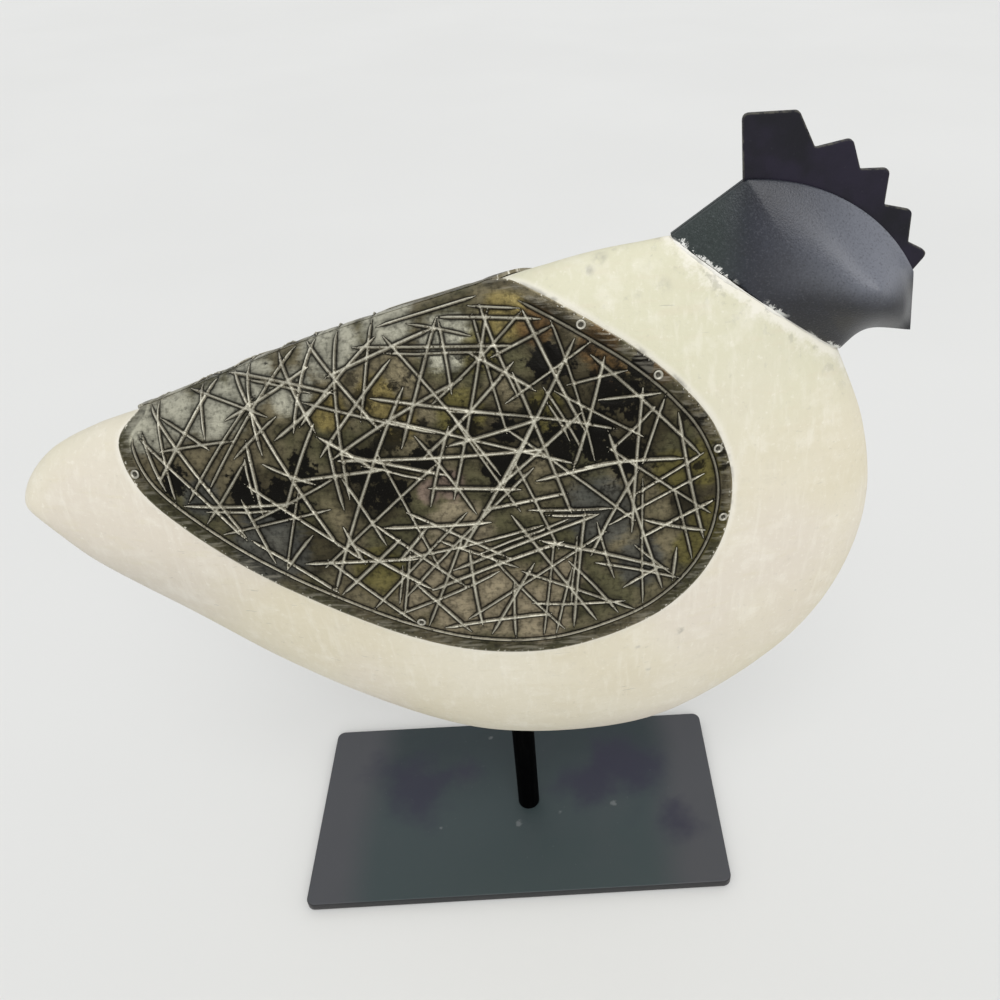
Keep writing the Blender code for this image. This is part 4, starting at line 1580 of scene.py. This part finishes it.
    def dress(self) -> None:
        """Builds both sides and gives them their metals."""
        sheet_metal = PatinatedSheet().material()
        nail_metal = NailMetal().material()
        sheet = self.build_sheet()
        pieces = {sheet: "wing_right", self.mirrored(sheet, "sheet_left"): "wing_left"}
        for piece, node in pieces.items():
            Handing.over(piece, sheet_metal, "wing_sheet", node)
        for number, place in enumerate(self.nail_places(), start=1):
            nail = self.build_nail(f"nail_head_right_{number}", place)
            other = self.mirrored(nail, f"nail_head_left_{number}")
            Handing.over(nail, nail_metal, "nail_steel", f"nail_right_{number}")
            Handing.over(other, nail_metal, "nail_steel", f"nail_left_{number}")

    def _reached(self, end: Vector, other: Vector) -> Vector:
        """Draws a rib's end on to the ridge where it stops just short of it behind the border.

        Args:
            end: The rib's end.
            other: Its other end.

        Returns:
            The end, moved along the rib to the ridge if it is near.
        """
        skin = self.form.skin
        along = (end - other).normalized()
        place = end.copy()
        for _ in range(32):
            share = skin.to_share(place).x
            if not self.form.ends[1] + 0.008 < share < self.top_border[0] or along.y < 0.05:
                return end
            if skin.seam(share).y - place.y < 0.6 * MM:
                return place
            place += along * 0.45 * MM
        return end

    def _lines(self) -> list[tuple[Vector, Vector, float]]:
        """Draws the ribs that the solid carries, and finer ones where they left the sheet bare.

        Returns:
            The two ends of each rib and its share of the full size.
        """
        finer = replace(
            self.form, rib_seed=29, rib_count=120, rib_lengths=(12.0 * MM, 32.0 * MM, 62.0 * MM),
            rib_margin=0.6 * MM, rib_tries=2,
        )
        lines = [(start, end, 1.0) for start, end in self.form.ribs()]
        for start, end in finer.ribs():
            places = [start.lerp(end, k / 6) for k in range(7)]
            bare = sum(min(distance_to(p, a, b) for a, b, _ in lines) for p in places) / 7
            if bare > self.bare:
                lines.append((start, end, 0.9))
        return [(self._reached(a, b), self._reached(b, a), share) for a, b, share in lines]


class Handing:
    """The last step of each piece: its material, its body and the solids it stands for."""

    @staticmethod
    def over(piece: Piece, material: Material, slot: str, *nodes: str) -> None:
        """Dresses a piece and hands it to the frame.

        Args:
            piece: The finished piece.
            material: Its material.
            slot: The record's material slot; not used.
            nodes: The CAD nodes that it replaces.
        """
        piece.data.materials.clear()
        piece.data.materials.append(material)
        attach(piece, "root")
        if nodes:
            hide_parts(*nodes)
        log.info("%s: %d faces, %s", piece.name, len(piece.data.polygons), material.name)


@dataclass
class CarvedBody:
    """The carved wooden body, from the tail's tip to the flat neck face, with the rod's socket."""

    bird: Bird
    form: SheetForm
    sides: int = 144
    rings: int = 216
    face_share: float = 0.028
    carving: float = 0.28 * MM
    socket_radius: float = 4.3 * MM

    def build(self) -> Piece:
        """Builds the body and carves it.

        Returns:
            The body.
        """
        bird = self.bird
        rim = bird.section(1.0)
        centre = (rim(0.0) + rim(math.pi)) / 2

        def section(share: float) -> Ring:
            """Returns the ring at a share of the way from tail to neck."""
            body = 1 - self.face_share
            place = bird.section(bird.station(min(share / body, 1.0)))
            reach = min((1 - share) / self.face_share, 1.0)

            def place_at(number: int) -> Vector:
                """Returns the place of one vertex of the ring."""
                at = place(2 * math.pi * number / self.sides)
                return at if reach >= 1.0 else centre.lerp(at, reach)

            return place_at

        body = Lattice.made("carved_body", self.sides, self.rings, section)
        self._carve(body)
        self._bore(body)
        Shop.measured(body, "sheet_edge", self._sheet_distances(body))
        ahead = bird.neck_normal()
        Shop.measured(body, "neck_away", [(rim(0.0) - v.co).dot(ahead) for v in body.data.vertices])
        Shop.smoothed(body, 38)
        return body

    def _sheet_distances(self, body: Piece) -> np.ndarray:
        """Measures how far each vertex is outside the sheets.

        Args:
            body: The body.

        Returns:
            The distances, below 0 under the sheets.
        """
        loop = Plane.rows(self.form.loop(2.0 * MM))
        skin = self.form.skin
        places = Plane.rows([skin.flat(Vector((v.co.x, -abs(v.co.y), v.co.z))) for v in body.data.vertices])
        away = Plane.away(places, loop)
        covered = Plane.inside(places, loop)
        low = np.array([v.co.z for v in body.data.vertices]) < self.bird.placed((0, 0.05)).z
        return np.where(covered & ~low, -away, away)

    def _carve(self, body: Piece) -> None:
        """Cuts shallow knife facets and small dents into the bare wood, only inwards.

        Args:
            body: The body to carve.
        """
        away = self._sheet_distances(body)
        normals = [Vector(n.vector) for n in body.data.vertex_normals]
        neck = self.bird.section(1.0)(0.0)
        for vertex, normal, gap in zip(body.data.vertices, normals, away):
            at = vertex.co
            wide = noise.noise(at * 55) * 0.5 + 0.5
            swept = Vector((at.x * 60, at.y * 160, at.z * 160 + at.x * 70)) + Vector((7, 3, 1))
            cuts = noise.noise(swept) * 0.5 + 0.5
            bare = smooth_step(0.5 * MM, 7 * MM, gap)
            clear = smooth_step(1 * MM, 10 * MM, (at - neck).length)
            vertex.co = at - normal * self.carving * (0.6 * wide + 0.4 * cuts) * bare * clear
        body.data.update()

    def _bore(self, body: Piece) -> None:
        """Bores the rod's blind socket into the belly.

        Args:
            body: The body to bore.
        """
        floor = self.bird.belly_over(self.bird.rod_offset)
        depth = self.bird.socket_depth + self.bird.clearance / 2

        def drill() -> None:
            """Adds the drill's cylinder."""
            middle = floor + self.bird.socket_depth - depth / 2
            bpy.ops.mesh.primitive_cylinder_add(
                vertices=64, radius=self.socket_radius, depth=depth,
                location=(self.bird.rod_offset, 0, middle),
            )

        tool = Shop.started("drill", drill)
        Shop.settled(tool)
        Shop.modified(body, "BOOLEAN", operation="DIFFERENCE", solver="EXACT", object=tool)
        bpy.data.objects.remove(tool, do_unlink=True)

    def build_filler(self) -> Piece:
        """Builds the ragged filler that is smeared round the joint of neck and head.

        Returns:
            The filler.
        """
        sides, tube = 220, 12

        def ring() -> None:
            """Adds the ring to shape."""
            bpy.ops.mesh.primitive_torus_add(
                major_segments=sides, minor_segments=tube, major_radius=1.0, minor_radius=0.25
            )

        filler = Shop.started("neck_filler", ring)
        rim = self.bird.section(1.0)
        centre = (rim(0.0) + rim(math.pi)) / 2
        ahead = self.bird.neck_normal()

        def laid(at: Vector) -> Vector:
            """Returns the place on the joint of a place on the ring."""
            turn = math.atan2(at.y, at.x) % (2 * math.pi)
            out, along = (math.hypot(at.x, at.y) - 1.0) / 0.25, at.z / 0.25
            half = turn if turn <= math.pi else 2 * math.pi - turn
            full = max(
                smooth_step(0.15, 0.4, half) * (1 - smooth_step(1.2, 1.4, half)),
                smooth_step(1.55, 1.65, half) * (1 - smooth_step(1.75, 1.85, half)) * 0.8,
                smooth_step(2.1, 2.25, half) * (1 - smooth_step(2.7, 2.85, half)) * 0.8,
            )
            rag = noise.noise(Vector((math.cos(turn) * 9, math.sin(turn) * 9, along))) * 0.5 + 0.5
            torn = noise.noise(Vector((math.cos(turn) * 48, math.sin(turn) * 48, along * 2))) * 0.5 + 0.5
            wide = (0.12 + full * (0.15 + 0.9 * rag * torn)) * MM
            thick = (0.06 + full * (0.10 + 0.40 * rag * torn)) * MM
            edge = rim(turn)
            outward = (edge - centre).normalized()
            off = outward * (out * thick - 0.05 * MM)
            return edge + off + ahead * (along * wide - wide * 0.55 + 0.15 * MM)

        Shop.shaped(filler, laid)
        Shop.outwards(filler)
        Shop.smoothed(filler, 70)
        return filler

    def dress(self) -> None:
        """Builds the body and the filler and paints them."""
        Handing.over(self.build(), CreamPaint().material(), "cream_wood", "body")
        Handing.over(self.build_filler(), WhiteFiller().material(), "cream_wood")


@dataclass
class HeadAndComb:
    """The pressed head in two halves, and the flat comb in its seam."""

    bird: Bird
    thickness: float = 25.0 * MM
    sheet: float = 0.9 * MM
    comb_thickness: float = 1.2 * MM
    tongue_depth: float = 3.0 * MM
    tip_radius: float = 1.7 * MM
    notch_radius: float = 0.8 * MM
    grip: float = 0.07 * MM
    foot_depth: float = 1.0 * MM
    cheek_height: float = 2.6 * MM
    cheek_radius: float = 17.0 * MM
    cheek_tip: float = 0.9 * MM
    tip_reach: float = 4.0 * MM
    fine_slit: float = 0.28 * MM
    lip_depth: float = 0.5 * MM
    crease: float = 1.1 * MM
    crease_at: float = 66.6 * MM
    crease_width: float = 2.6 * MM
    sag: float = 1.3
    crown_centre: Pair = (0.8175, 0.571)
    crown_radius: float = 0.2145
    brow_angle: float = math.radians(31.0)
    jaw_line: tuple[Pair, ...] = ((0.9525, 0.614), (0.9685, 0.619), (1.011, 0.6145))
    corner: float = 0.3
    half_thickness: tuple[Pair, ...] = ((0.0, 0.52), (0.3, 0.76), (0.6, 1.0), (0.85, 0.74), (1.0, 0.072))
    brow_start: float = 0.7
    beak_start: float = 0.88
    cheek: Pair = (0.9475, 0.689)
    comb_start: float = math.radians(91.0)
    tongue_angles: Pair = (math.radians(84.0), math.radians(38.0))
    comb_steps: tuple[Pair, ...] = (
        (92.1, 0.0612), (81.0, 0.0654), (75.3, 0.0352), (68.4, 0.0533), (63.2, 0.0308),
        (57.4, 0.0454), (52.4, 0.0158), (46.0, 0.0302), (39.6, 0.0092), (33.8, 0.0208),
    )
    sides: int = 112
    rings: int = 120

    def _ends(self, u: float, jaw: Line) -> tuple[Vector, Vector]:
        """Returns where section u meets the crown's seam and the jaw's edge, in shares."""
        corner = Vector(self.crown_centre) + Vector((0, self.crown_radius))
        if u < self.corner:
            top = self._lifted(self.bird.ends(1.0)[0]).lerp(corner, u / self.corner)
        else:
            turn = math.pi / 2 + (self.brow_angle - math.pi / 2) * (u - self.corner) / (1 - self.corner)
            top = Vector(self.crown_centre) + self.crown_radius * Vector((math.cos(turn), math.sin(turn)))
        return top, jaw.at(u * u)

    def _lifted(self, share: Vector) -> Vector:
        """Returns a place of the neck face moved off it by the gap, in shares."""
        lift = self.bird.neck_normal() * self.bird.gap / self.bird.length
        return share + Vector((lift.x, lift.z))

    def _half(self, u: float, v: float, place: Vector) -> float:
        """Finds the head's half thickness.

        Args:
            u: The section, from the neck to the beak.
            v: The share of the way from the crown's seam to the jaw.
            place: The place in shares.

        Returns:
            The half thickness in metres.
        """
        seam = self.comb_thickness / 2 + self.grip + self.sheet * 0.6
        narrowing = min(max((u - self.beak_start) / (1 - self.beak_start), 0.0), 1.0)
        lip = (seam * (1 - narrowing) + self.sheet * narrowing) * (1 - v) + self.sheet * v
        full = max(smooth_value(self.half_thickness, u) * self.thickness / 2, lip)
        low = v**self.sag
        oval = 2 * math.sqrt(max(low * (1 - low), 0.0))
        tent = max(math.sin(math.pi * low), 0.0)
        mix = min(u / self.brow_start, 1.0)
        bulge = oval * (1 - mix) + tent * mix
        away = (place - Vector(self.cheek)).length * self.bird.length
        cheek = self.cheek_height * max(1 - away / self.cheek_radius, 0.0) ** 1.4
        cheek += self.cheek_tip * max(1 - away / self.tip_reach, 0.0) ** 1.6
        at = self.bird.placed(place).x
        dip = math.exp(-(((at - self.crease_at) / self.crease_width) ** 2))
        crease = self.crease * dip * (1 - smooth_step(0.3, 0.9, v))
        return lip + (full - lip) * bulge + (cheek - crease) * oval

    def build_head(self) -> Piece:
        """Builds the head, with its seam open for the comb's tongue and a fine slit elsewhere.

        Returns:
            The head.
        """
        jaw = Line(curve_through([self._lifted(self.bird.ends(1.0)[1])] + list(self.jaw_line)))
        centre = Vector(self.crown_centre)
        start, end = self.tongue_angles
        half_ring = self.sides // 2
        cap = 0.04

        def section(share: float) -> Ring:
            """Returns the ring at a share of the way from neck to beak."""
            u = min(max((share - cap) / (1 - 2 * cap), 0.0), 1.0)
            reach = min(share / cap, (1 - share) / cap, 1.0)
            top, bottom = self._ends(u, jaw)
            toward = (bottom - top).normalized()
            turn = math.atan2(top.y - centre.y, top.x - centre.x)
            held = u >= self.corner and u < 1.0
            slit = self.comb_thickness / 2 + self.grip if held else self.fine_slit / 2
            depth = self.foot_depth + self.bird.gap if held else self.lip_depth
            if end < turn < start:
                depth = self.tongue_depth + self.bird.gap
            middle = self.bird.placed((top + bottom) / 2)

            def place_at(number: int) -> Vector:
                """Returns the place of one vertex of the ring."""
                side = -1.0 if number < half_ring else 1.0
                step = number if number < half_ring else self.sides - 1 - number
                last = half_ring - 1
                if step in (0, 1):
                    down = depth / self.bird.length if step == 0 else 0.0
                    at = self.bird.placed(top + toward * down, side * slit)
                elif step in (last - 1, last):
                    up = self.lip_depth / self.bird.length if step == last else 0.0
                    at = self.bird.placed(bottom - toward * up, side * self.fine_slit / 2)
                else:
                    v = (1 - math.cos(math.pi * (step - 2) / (last - 4))) / 2
                    at = top.lerp(bottom, v)
                    at = self.bird.placed(at, side * self._half(u, v, at))
                return at if reach >= 1.0 else middle.lerp(at, reach)

            return place_at

        head = Lattice.made("pressed_head", self.sides, self.rings, section)
        top, bottom = self.bird.ends(1.0)
        ahead = self.bird.neck_normal()
        face = self.bird.placed(top)
        Shop.measured(head, "neck_away", [(v.co - face).dot(ahead) for v in head.data.vertices])
        long = self.bird.placed(bottom) - face
        downs = [(v.co - face).dot(long) / long.length_squared for v in head.data.vertices]
        Shop.measured(head, "filler", [self._filler_share(down) for down in downs])
        Shop.smoothed(head, 32)
        return head

    @staticmethod
    def _filler_share(down: float) -> float:
        """Returns how much filler was dragged over the head's edge, a share of the way down the joint."""
        upper = smooth_step(0.0, 0.04, down) * (1 - smooth_step(0.30, 0.36, down))
        spot = smooth_step(0.50, 0.53, down) * (1 - smooth_step(0.60, 0.63, down)) * 0.8
        lower = smooth_step(0.76, 0.82, down) * (1 - smooth_step(0.97, 1.0, down)) * 0.8
        return max(upper, spot, lower)

    def _crown_point(self, radius: float, turn: float) -> Vector:
        """Returns the side-view point at a distance and an angle from the crown's centre."""
        centre = self.bird.placed(self.crown_centre)
        return Vector((centre.x + radius * math.cos(turn), centre.z + radius * math.sin(turn)))

    def _arc(self, radius: float, start: float, end: float, steps: int) -> list[Vector]:
        """Returns side-view points on an arc about the crown's centre."""
        return [self._crown_point(radius, start + (end - start) * k / steps) for k in range(steps + 1)]

    def _rounded(self, points: Sequence[Vector], steps: int = 7) -> list[Vector]:
        """Rounds the tips and notches of a clockwise outline.

        Args:
            points: The corners.
            steps: How many stretches stand for each rounding.

        Returns:
            The rounded outline.
        """
        found = []
        for k, corner in enumerate(points):
            back = points[k - 1] - corner
            ahead = points[(k + 1) % len(points)] - corner
            turn = back.normalized().cross(ahead.normalized())
            half = back.angle(ahead) / 2
            radius = self.tip_radius if turn > 0 else self.notch_radius
            reach = min(radius / math.tan(half), back.length * 0.45, ahead.length * 0.45)
            start = corner + back.normalized() * reach
            end = corner + ahead.normalized() * reach
            for s in range(steps + 1):
                t = s / steps
                found.append(start.lerp(corner, t).lerp(corner.lerp(end, t), t))
        return found

    def comb_outline(self) -> list[Vector]:
        """Draws the comb's outline, with its foot sunk between the head's halves.

        Returns:
            Its side-view points, clockwise.
        """
        length = self.bird.length
        radius = self.crown_radius * length
        foot_radius = radius - self.foot_depth
        start, end = self.tongue_angles
        teeth = [self._crown_point(radius + rise * length, math.radians(t)) for t, rise in self.comb_steps]
        foot = self._arc(foot_radius, self.comb_start, self.brow_angle, 1)
        steps = self._rounded([foot[0]] + teeth + [foot[1]])
        steps = [foot[0]] + steps[8:-8] + [foot[1]]
        sole = self._arc(foot_radius, self.brow_angle, end, 6)[1:]
        tongue = self._arc(radius - self.tongue_depth, end, start, 24)
        heel = self._arc(foot_radius, start, self.comb_start, 4)[:-1]
        return steps + sole + tongue + heel

    def build_comb(self) -> Piece:
        """Builds the comb: its cut outline, thickened, with broken edges.

        Returns:
            The comb.
        """
        outline = self.comb_outline()

        def blank() -> None:
            """Adds the blank to shape."""
            bpy.ops.mesh.primitive_circle_add(vertices=len(outline), fill_type="NGON")

        comb = Shop.started("stepped_comb", blank)
        for vertex, place in zip(comb.data.vertices, outline):
            vertex.co = (place.x, -self.comb_thickness / 2, place.y)
        thick = (0, self.comb_thickness, 0)
        Shop.edited(
            comb, "FACE", lambda face: True,
            lambda: bpy.ops.mesh.extrude_region_move(TRANSFORM_OT_translate={"value": thick}),
        )
        Shop.outwards(comb)
        Shop.modified(
            comb, "BEVEL", width=0.16 * MM, segments=2, limit_method="ANGLE", angle_limit=math.radians(50)
        )
        Shop.edited(
            comb, "FACE", lambda face: abs(face.normal.y) > 0.99 and face.area > 1e-4,
            lambda: bpy.ops.mesh.inset(thickness=0.7 * MM),
        )
        rim = Plane.rows(outline)
        places = np.array([(v.co.x, v.co.z) for v in comb.data.vertices])
        Shop.measured(comb, "edge_away", Plane.away(places, rim))
        Shop.smoothed(comb, 40)
        return comb

    def dress(self) -> None:
        """Builds the head and the comb and paints them."""
        Handing.over(self.build_head(), HeadPaint().material(), "head_black", "head")
        Handing.over(self.build_comb(), CombPaint().material(), "head_black", "comb")


@dataclass
class Stand:
    """The flat plate and the round rod that carry the bird."""

    bird: Bird
    length: float = 152.4 * MM
    width: float = 76.2 * MM
    corner_radius: float = 3.0 * MM
    rim: float = 0.5 * MM
    low_rim: float = 0.15 * MM
    rod_radius: float = 4.0 * MM
    rod_rim: float = 0.3 * MM

    def build_plate(self) -> Piece:
        """Builds the plate, with rounded corners and a broken rim.

        Returns:
            The plate.
        """
        high = self.bird.plate_thickness

        def blank() -> None:
            """Adds the blank to shape."""
            bpy.ops.mesh.primitive_cube_add(
                size=1.0, location=(0, 0, high / 2), scale=(self.length, self.width, high)
            )

        plate = Shop.started("steel_plate", blank)
        Shop.settled(plate)

        def upright(edge: bpy.types.MeshEdge) -> bool:
            """Says whether an edge stands upright."""
            a, b = Shop.edge_ends(plate, edge)
            return abs(a.z - b.z) > high / 2

        def on_top(edge: bpy.types.MeshEdge) -> bool:
            """Says whether an edge lies on the top rim."""
            a, b = Shop.edge_ends(plate, edge)
            return min(a.z, b.z) > high * 0.9

        def underneath(edge: bpy.types.MeshEdge) -> bool:
            """Says whether an edge lies on the underside's rim."""
            return max(p.z for p in Shop.edge_ends(plate, edge)) < high * 0.1

        Shop.bevelled(plate, upright, self.corner_radius, 12)
        Shop.bevelled(plate, on_top, self.rim, 4)
        Shop.bevelled(plate, underneath, self.low_rim, 2)
        Shop.smoothed(plate, 40)
        return plate

    def build_rod(self) -> Piece:
        """Builds the rod, from the plate up into the socket.

        Returns:
            The rod.
        """
        low = self.bird.plate_thickness + 0.03 * MM
        high = self.bird.belly_over(self.bird.rod_offset) + self.bird.socket_depth - self.bird.gap

        def bar() -> None:
            """Adds the bar to shape."""
            bpy.ops.mesh.primitive_cylinder_add(
                vertices=72, radius=self.rod_radius, depth=high - low,
                location=(self.bird.rod_offset, 0, (low + high) / 2),
            )

        rod = Shop.started("steel_rod", bar)
        Shop.settled(rod)

        def level(edge: bpy.types.MeshEdge) -> bool:
            """Says whether an edge lies level on an end's rim."""
            a, b = Shop.edge_ends(rod, edge)
            return abs(a.z - b.z) < 0.01 * MM

        Shop.bevelled(rod, level, self.rod_rim, 3)
        Shop.smoothed(rod, 40)
        return rod

    def dress(self) -> None:
        """Builds the plate and the rod and paints them."""
        Handing.over(self.build_plate(), PlatePaint().material(), "base_black", "base_plate")
        Handing.over(self.build_rod(), RodPaint().material(), "base_black", "rod")


# The room


@dataclass
class Room:
    """The pale floor, the soft light and the camera."""

    camera_place: tuple[float, float, float] = (0.01772, -0.21579, 0.31297)
    right: tuple[float, float, float] = (0.99857974, -0.04598973, -0.0268968)
    up: tuple[float, float, float] = (0.0489399, 0.59227962, 0.80424483)
    back: tuple[float, float, float] = (-0.02105658, -0.80441892, 0.59368916)
    lens: float = 32.94
    shift: Pair = (-0.069, -0.0126)
    sun_place: tuple[float, float, float] = (0.02, -0.65, 1.0)
    sun_strength: float = 0.80
    window_place: tuple[float, float, float] = (0.24, -0.80, 0.55)
    window_strength: float = 0.68
    side_place: tuple[float, float, float] = (0.97, -0.04, 0.14)
    side_strength: float = 0.16
    sky_low: float = 0.50
    sky_high: float = 0.80

    def lay_floor(self) -> None:
        """Lays the pale floor."""

        def plane() -> None:
            """Adds the floor's plane."""
            bpy.ops.mesh.primitive_plane_add(size=12.0, location=(0, 2.0, -0.0005))

        floor = Shop.started("floor", plane)
        g = Graph("pale cloth")
        cloud = g.noise(2.2, 3.0)
        g.colour = g.mix(cloud.rise(0.3, 0.7), (0.745, 0.745, 0.725), (0.765, 0.765, 0.745))
        floor.data.materials.append(g.finished(Roughness=0.9, Specular_IOR_Level=0.1))

    def light(self) -> None:
        """Hangs the wide overhead light and two windows, and sets a sky that dims towards the horizon."""
        scene = bpy.context.scene
        world = scene.world or bpy.data.worlds.new("room")
        scene.world = world
        world.use_nodes = True
        nodes, links = world.node_tree.nodes, world.node_tree.links
        glow = nodes["Background"]
        glow.inputs["Color"].default_value = (0.97, 0.98, 1.0, 1.0)
        place = nodes.new("ShaderNodeTexCoord")
        split = nodes.new("ShaderNodeSeparateXYZ")
        rise = nodes.new("ShaderNodeMapRange")
        rise.interpolation_type = "SMOOTHSTEP"
        reach = {"From Min": 0.0, "From Max": 0.9, "To Min": self.sky_low, "To Max": self.sky_high}
        for name, value in reach.items():
            rise.inputs[name].default_value = value
        links.new(place.outputs["Generated"], split.inputs[0])
        links.new(split.outputs["Z"], rise.inputs["Value"])
        links.new(rise.outputs["Result"], glow.inputs["Strength"])
        self._hang("overhead", self.sun_place, self.sun_strength, 42.0)
        self._hang("window", self.window_place, self.window_strength, 34.0)
        self._hang("side window", self.side_place, self.side_strength, 30.0)

    @staticmethod
    def _hang(name: str, place: Sequence[float], strength: float, width: float) -> None:
        """Hangs one far lamp.

        Args:
            name: The lamp's name.
            place: The direction that it shines from.
            strength: Its light on a surface square to it.
            width: How wide it looks, in degrees.
        """
        lamp = bpy.data.lights.new(name, "SUN")
        lamp.energy = strength
        lamp.angle = math.radians(width)
        hung = bpy.data.objects.new(name, lamp)
        hung.location = place
        hung.rotation_euler = Vector(place).to_track_quat("Z", "Y").to_euler()
        bpy.context.scene.collection.objects.link(hung)

    def set_camera(self) -> None:
        """Sets the camera at the photograph's viewing angle."""
        scene = bpy.context.scene
        data = bpy.data.cameras.new("camera")
        data.sensor_width = 36.0
        data.lens = self.lens
        data.shift_x, data.shift_y = self.shift
        data.clip_start = 0.01
        data.clip_end = 50.0
        camera = bpy.data.objects.new("camera", data)
        turn = Matrix((self.right, self.up, self.back)).transposed()
        camera.matrix_world = Matrix.Translation(self.camera_place) @ turn.to_4x4()
        scene.collection.objects.link(camera)
        scene.camera = camera
        scene.view_settings.view_transform = "Standard"


def main() -> None:
    """Builds the bird, its stand and the room in order."""
    logging.basicConfig(level=logging.INFO, format="%(message)s")
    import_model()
    bird = Bird()
    form = SheetForm(bird)
    log.info("outline and skin ready")
    Stand(bird).dress()
    CarvedBody(bird, form).dress()
    HeadAndComb(bird).dress()
    NailedSheets(bird, form).dress()
    room = Room()
    room.lay_floor()
    room.light()
    room.set_camera()


if __name__ == "__main__":
    main()
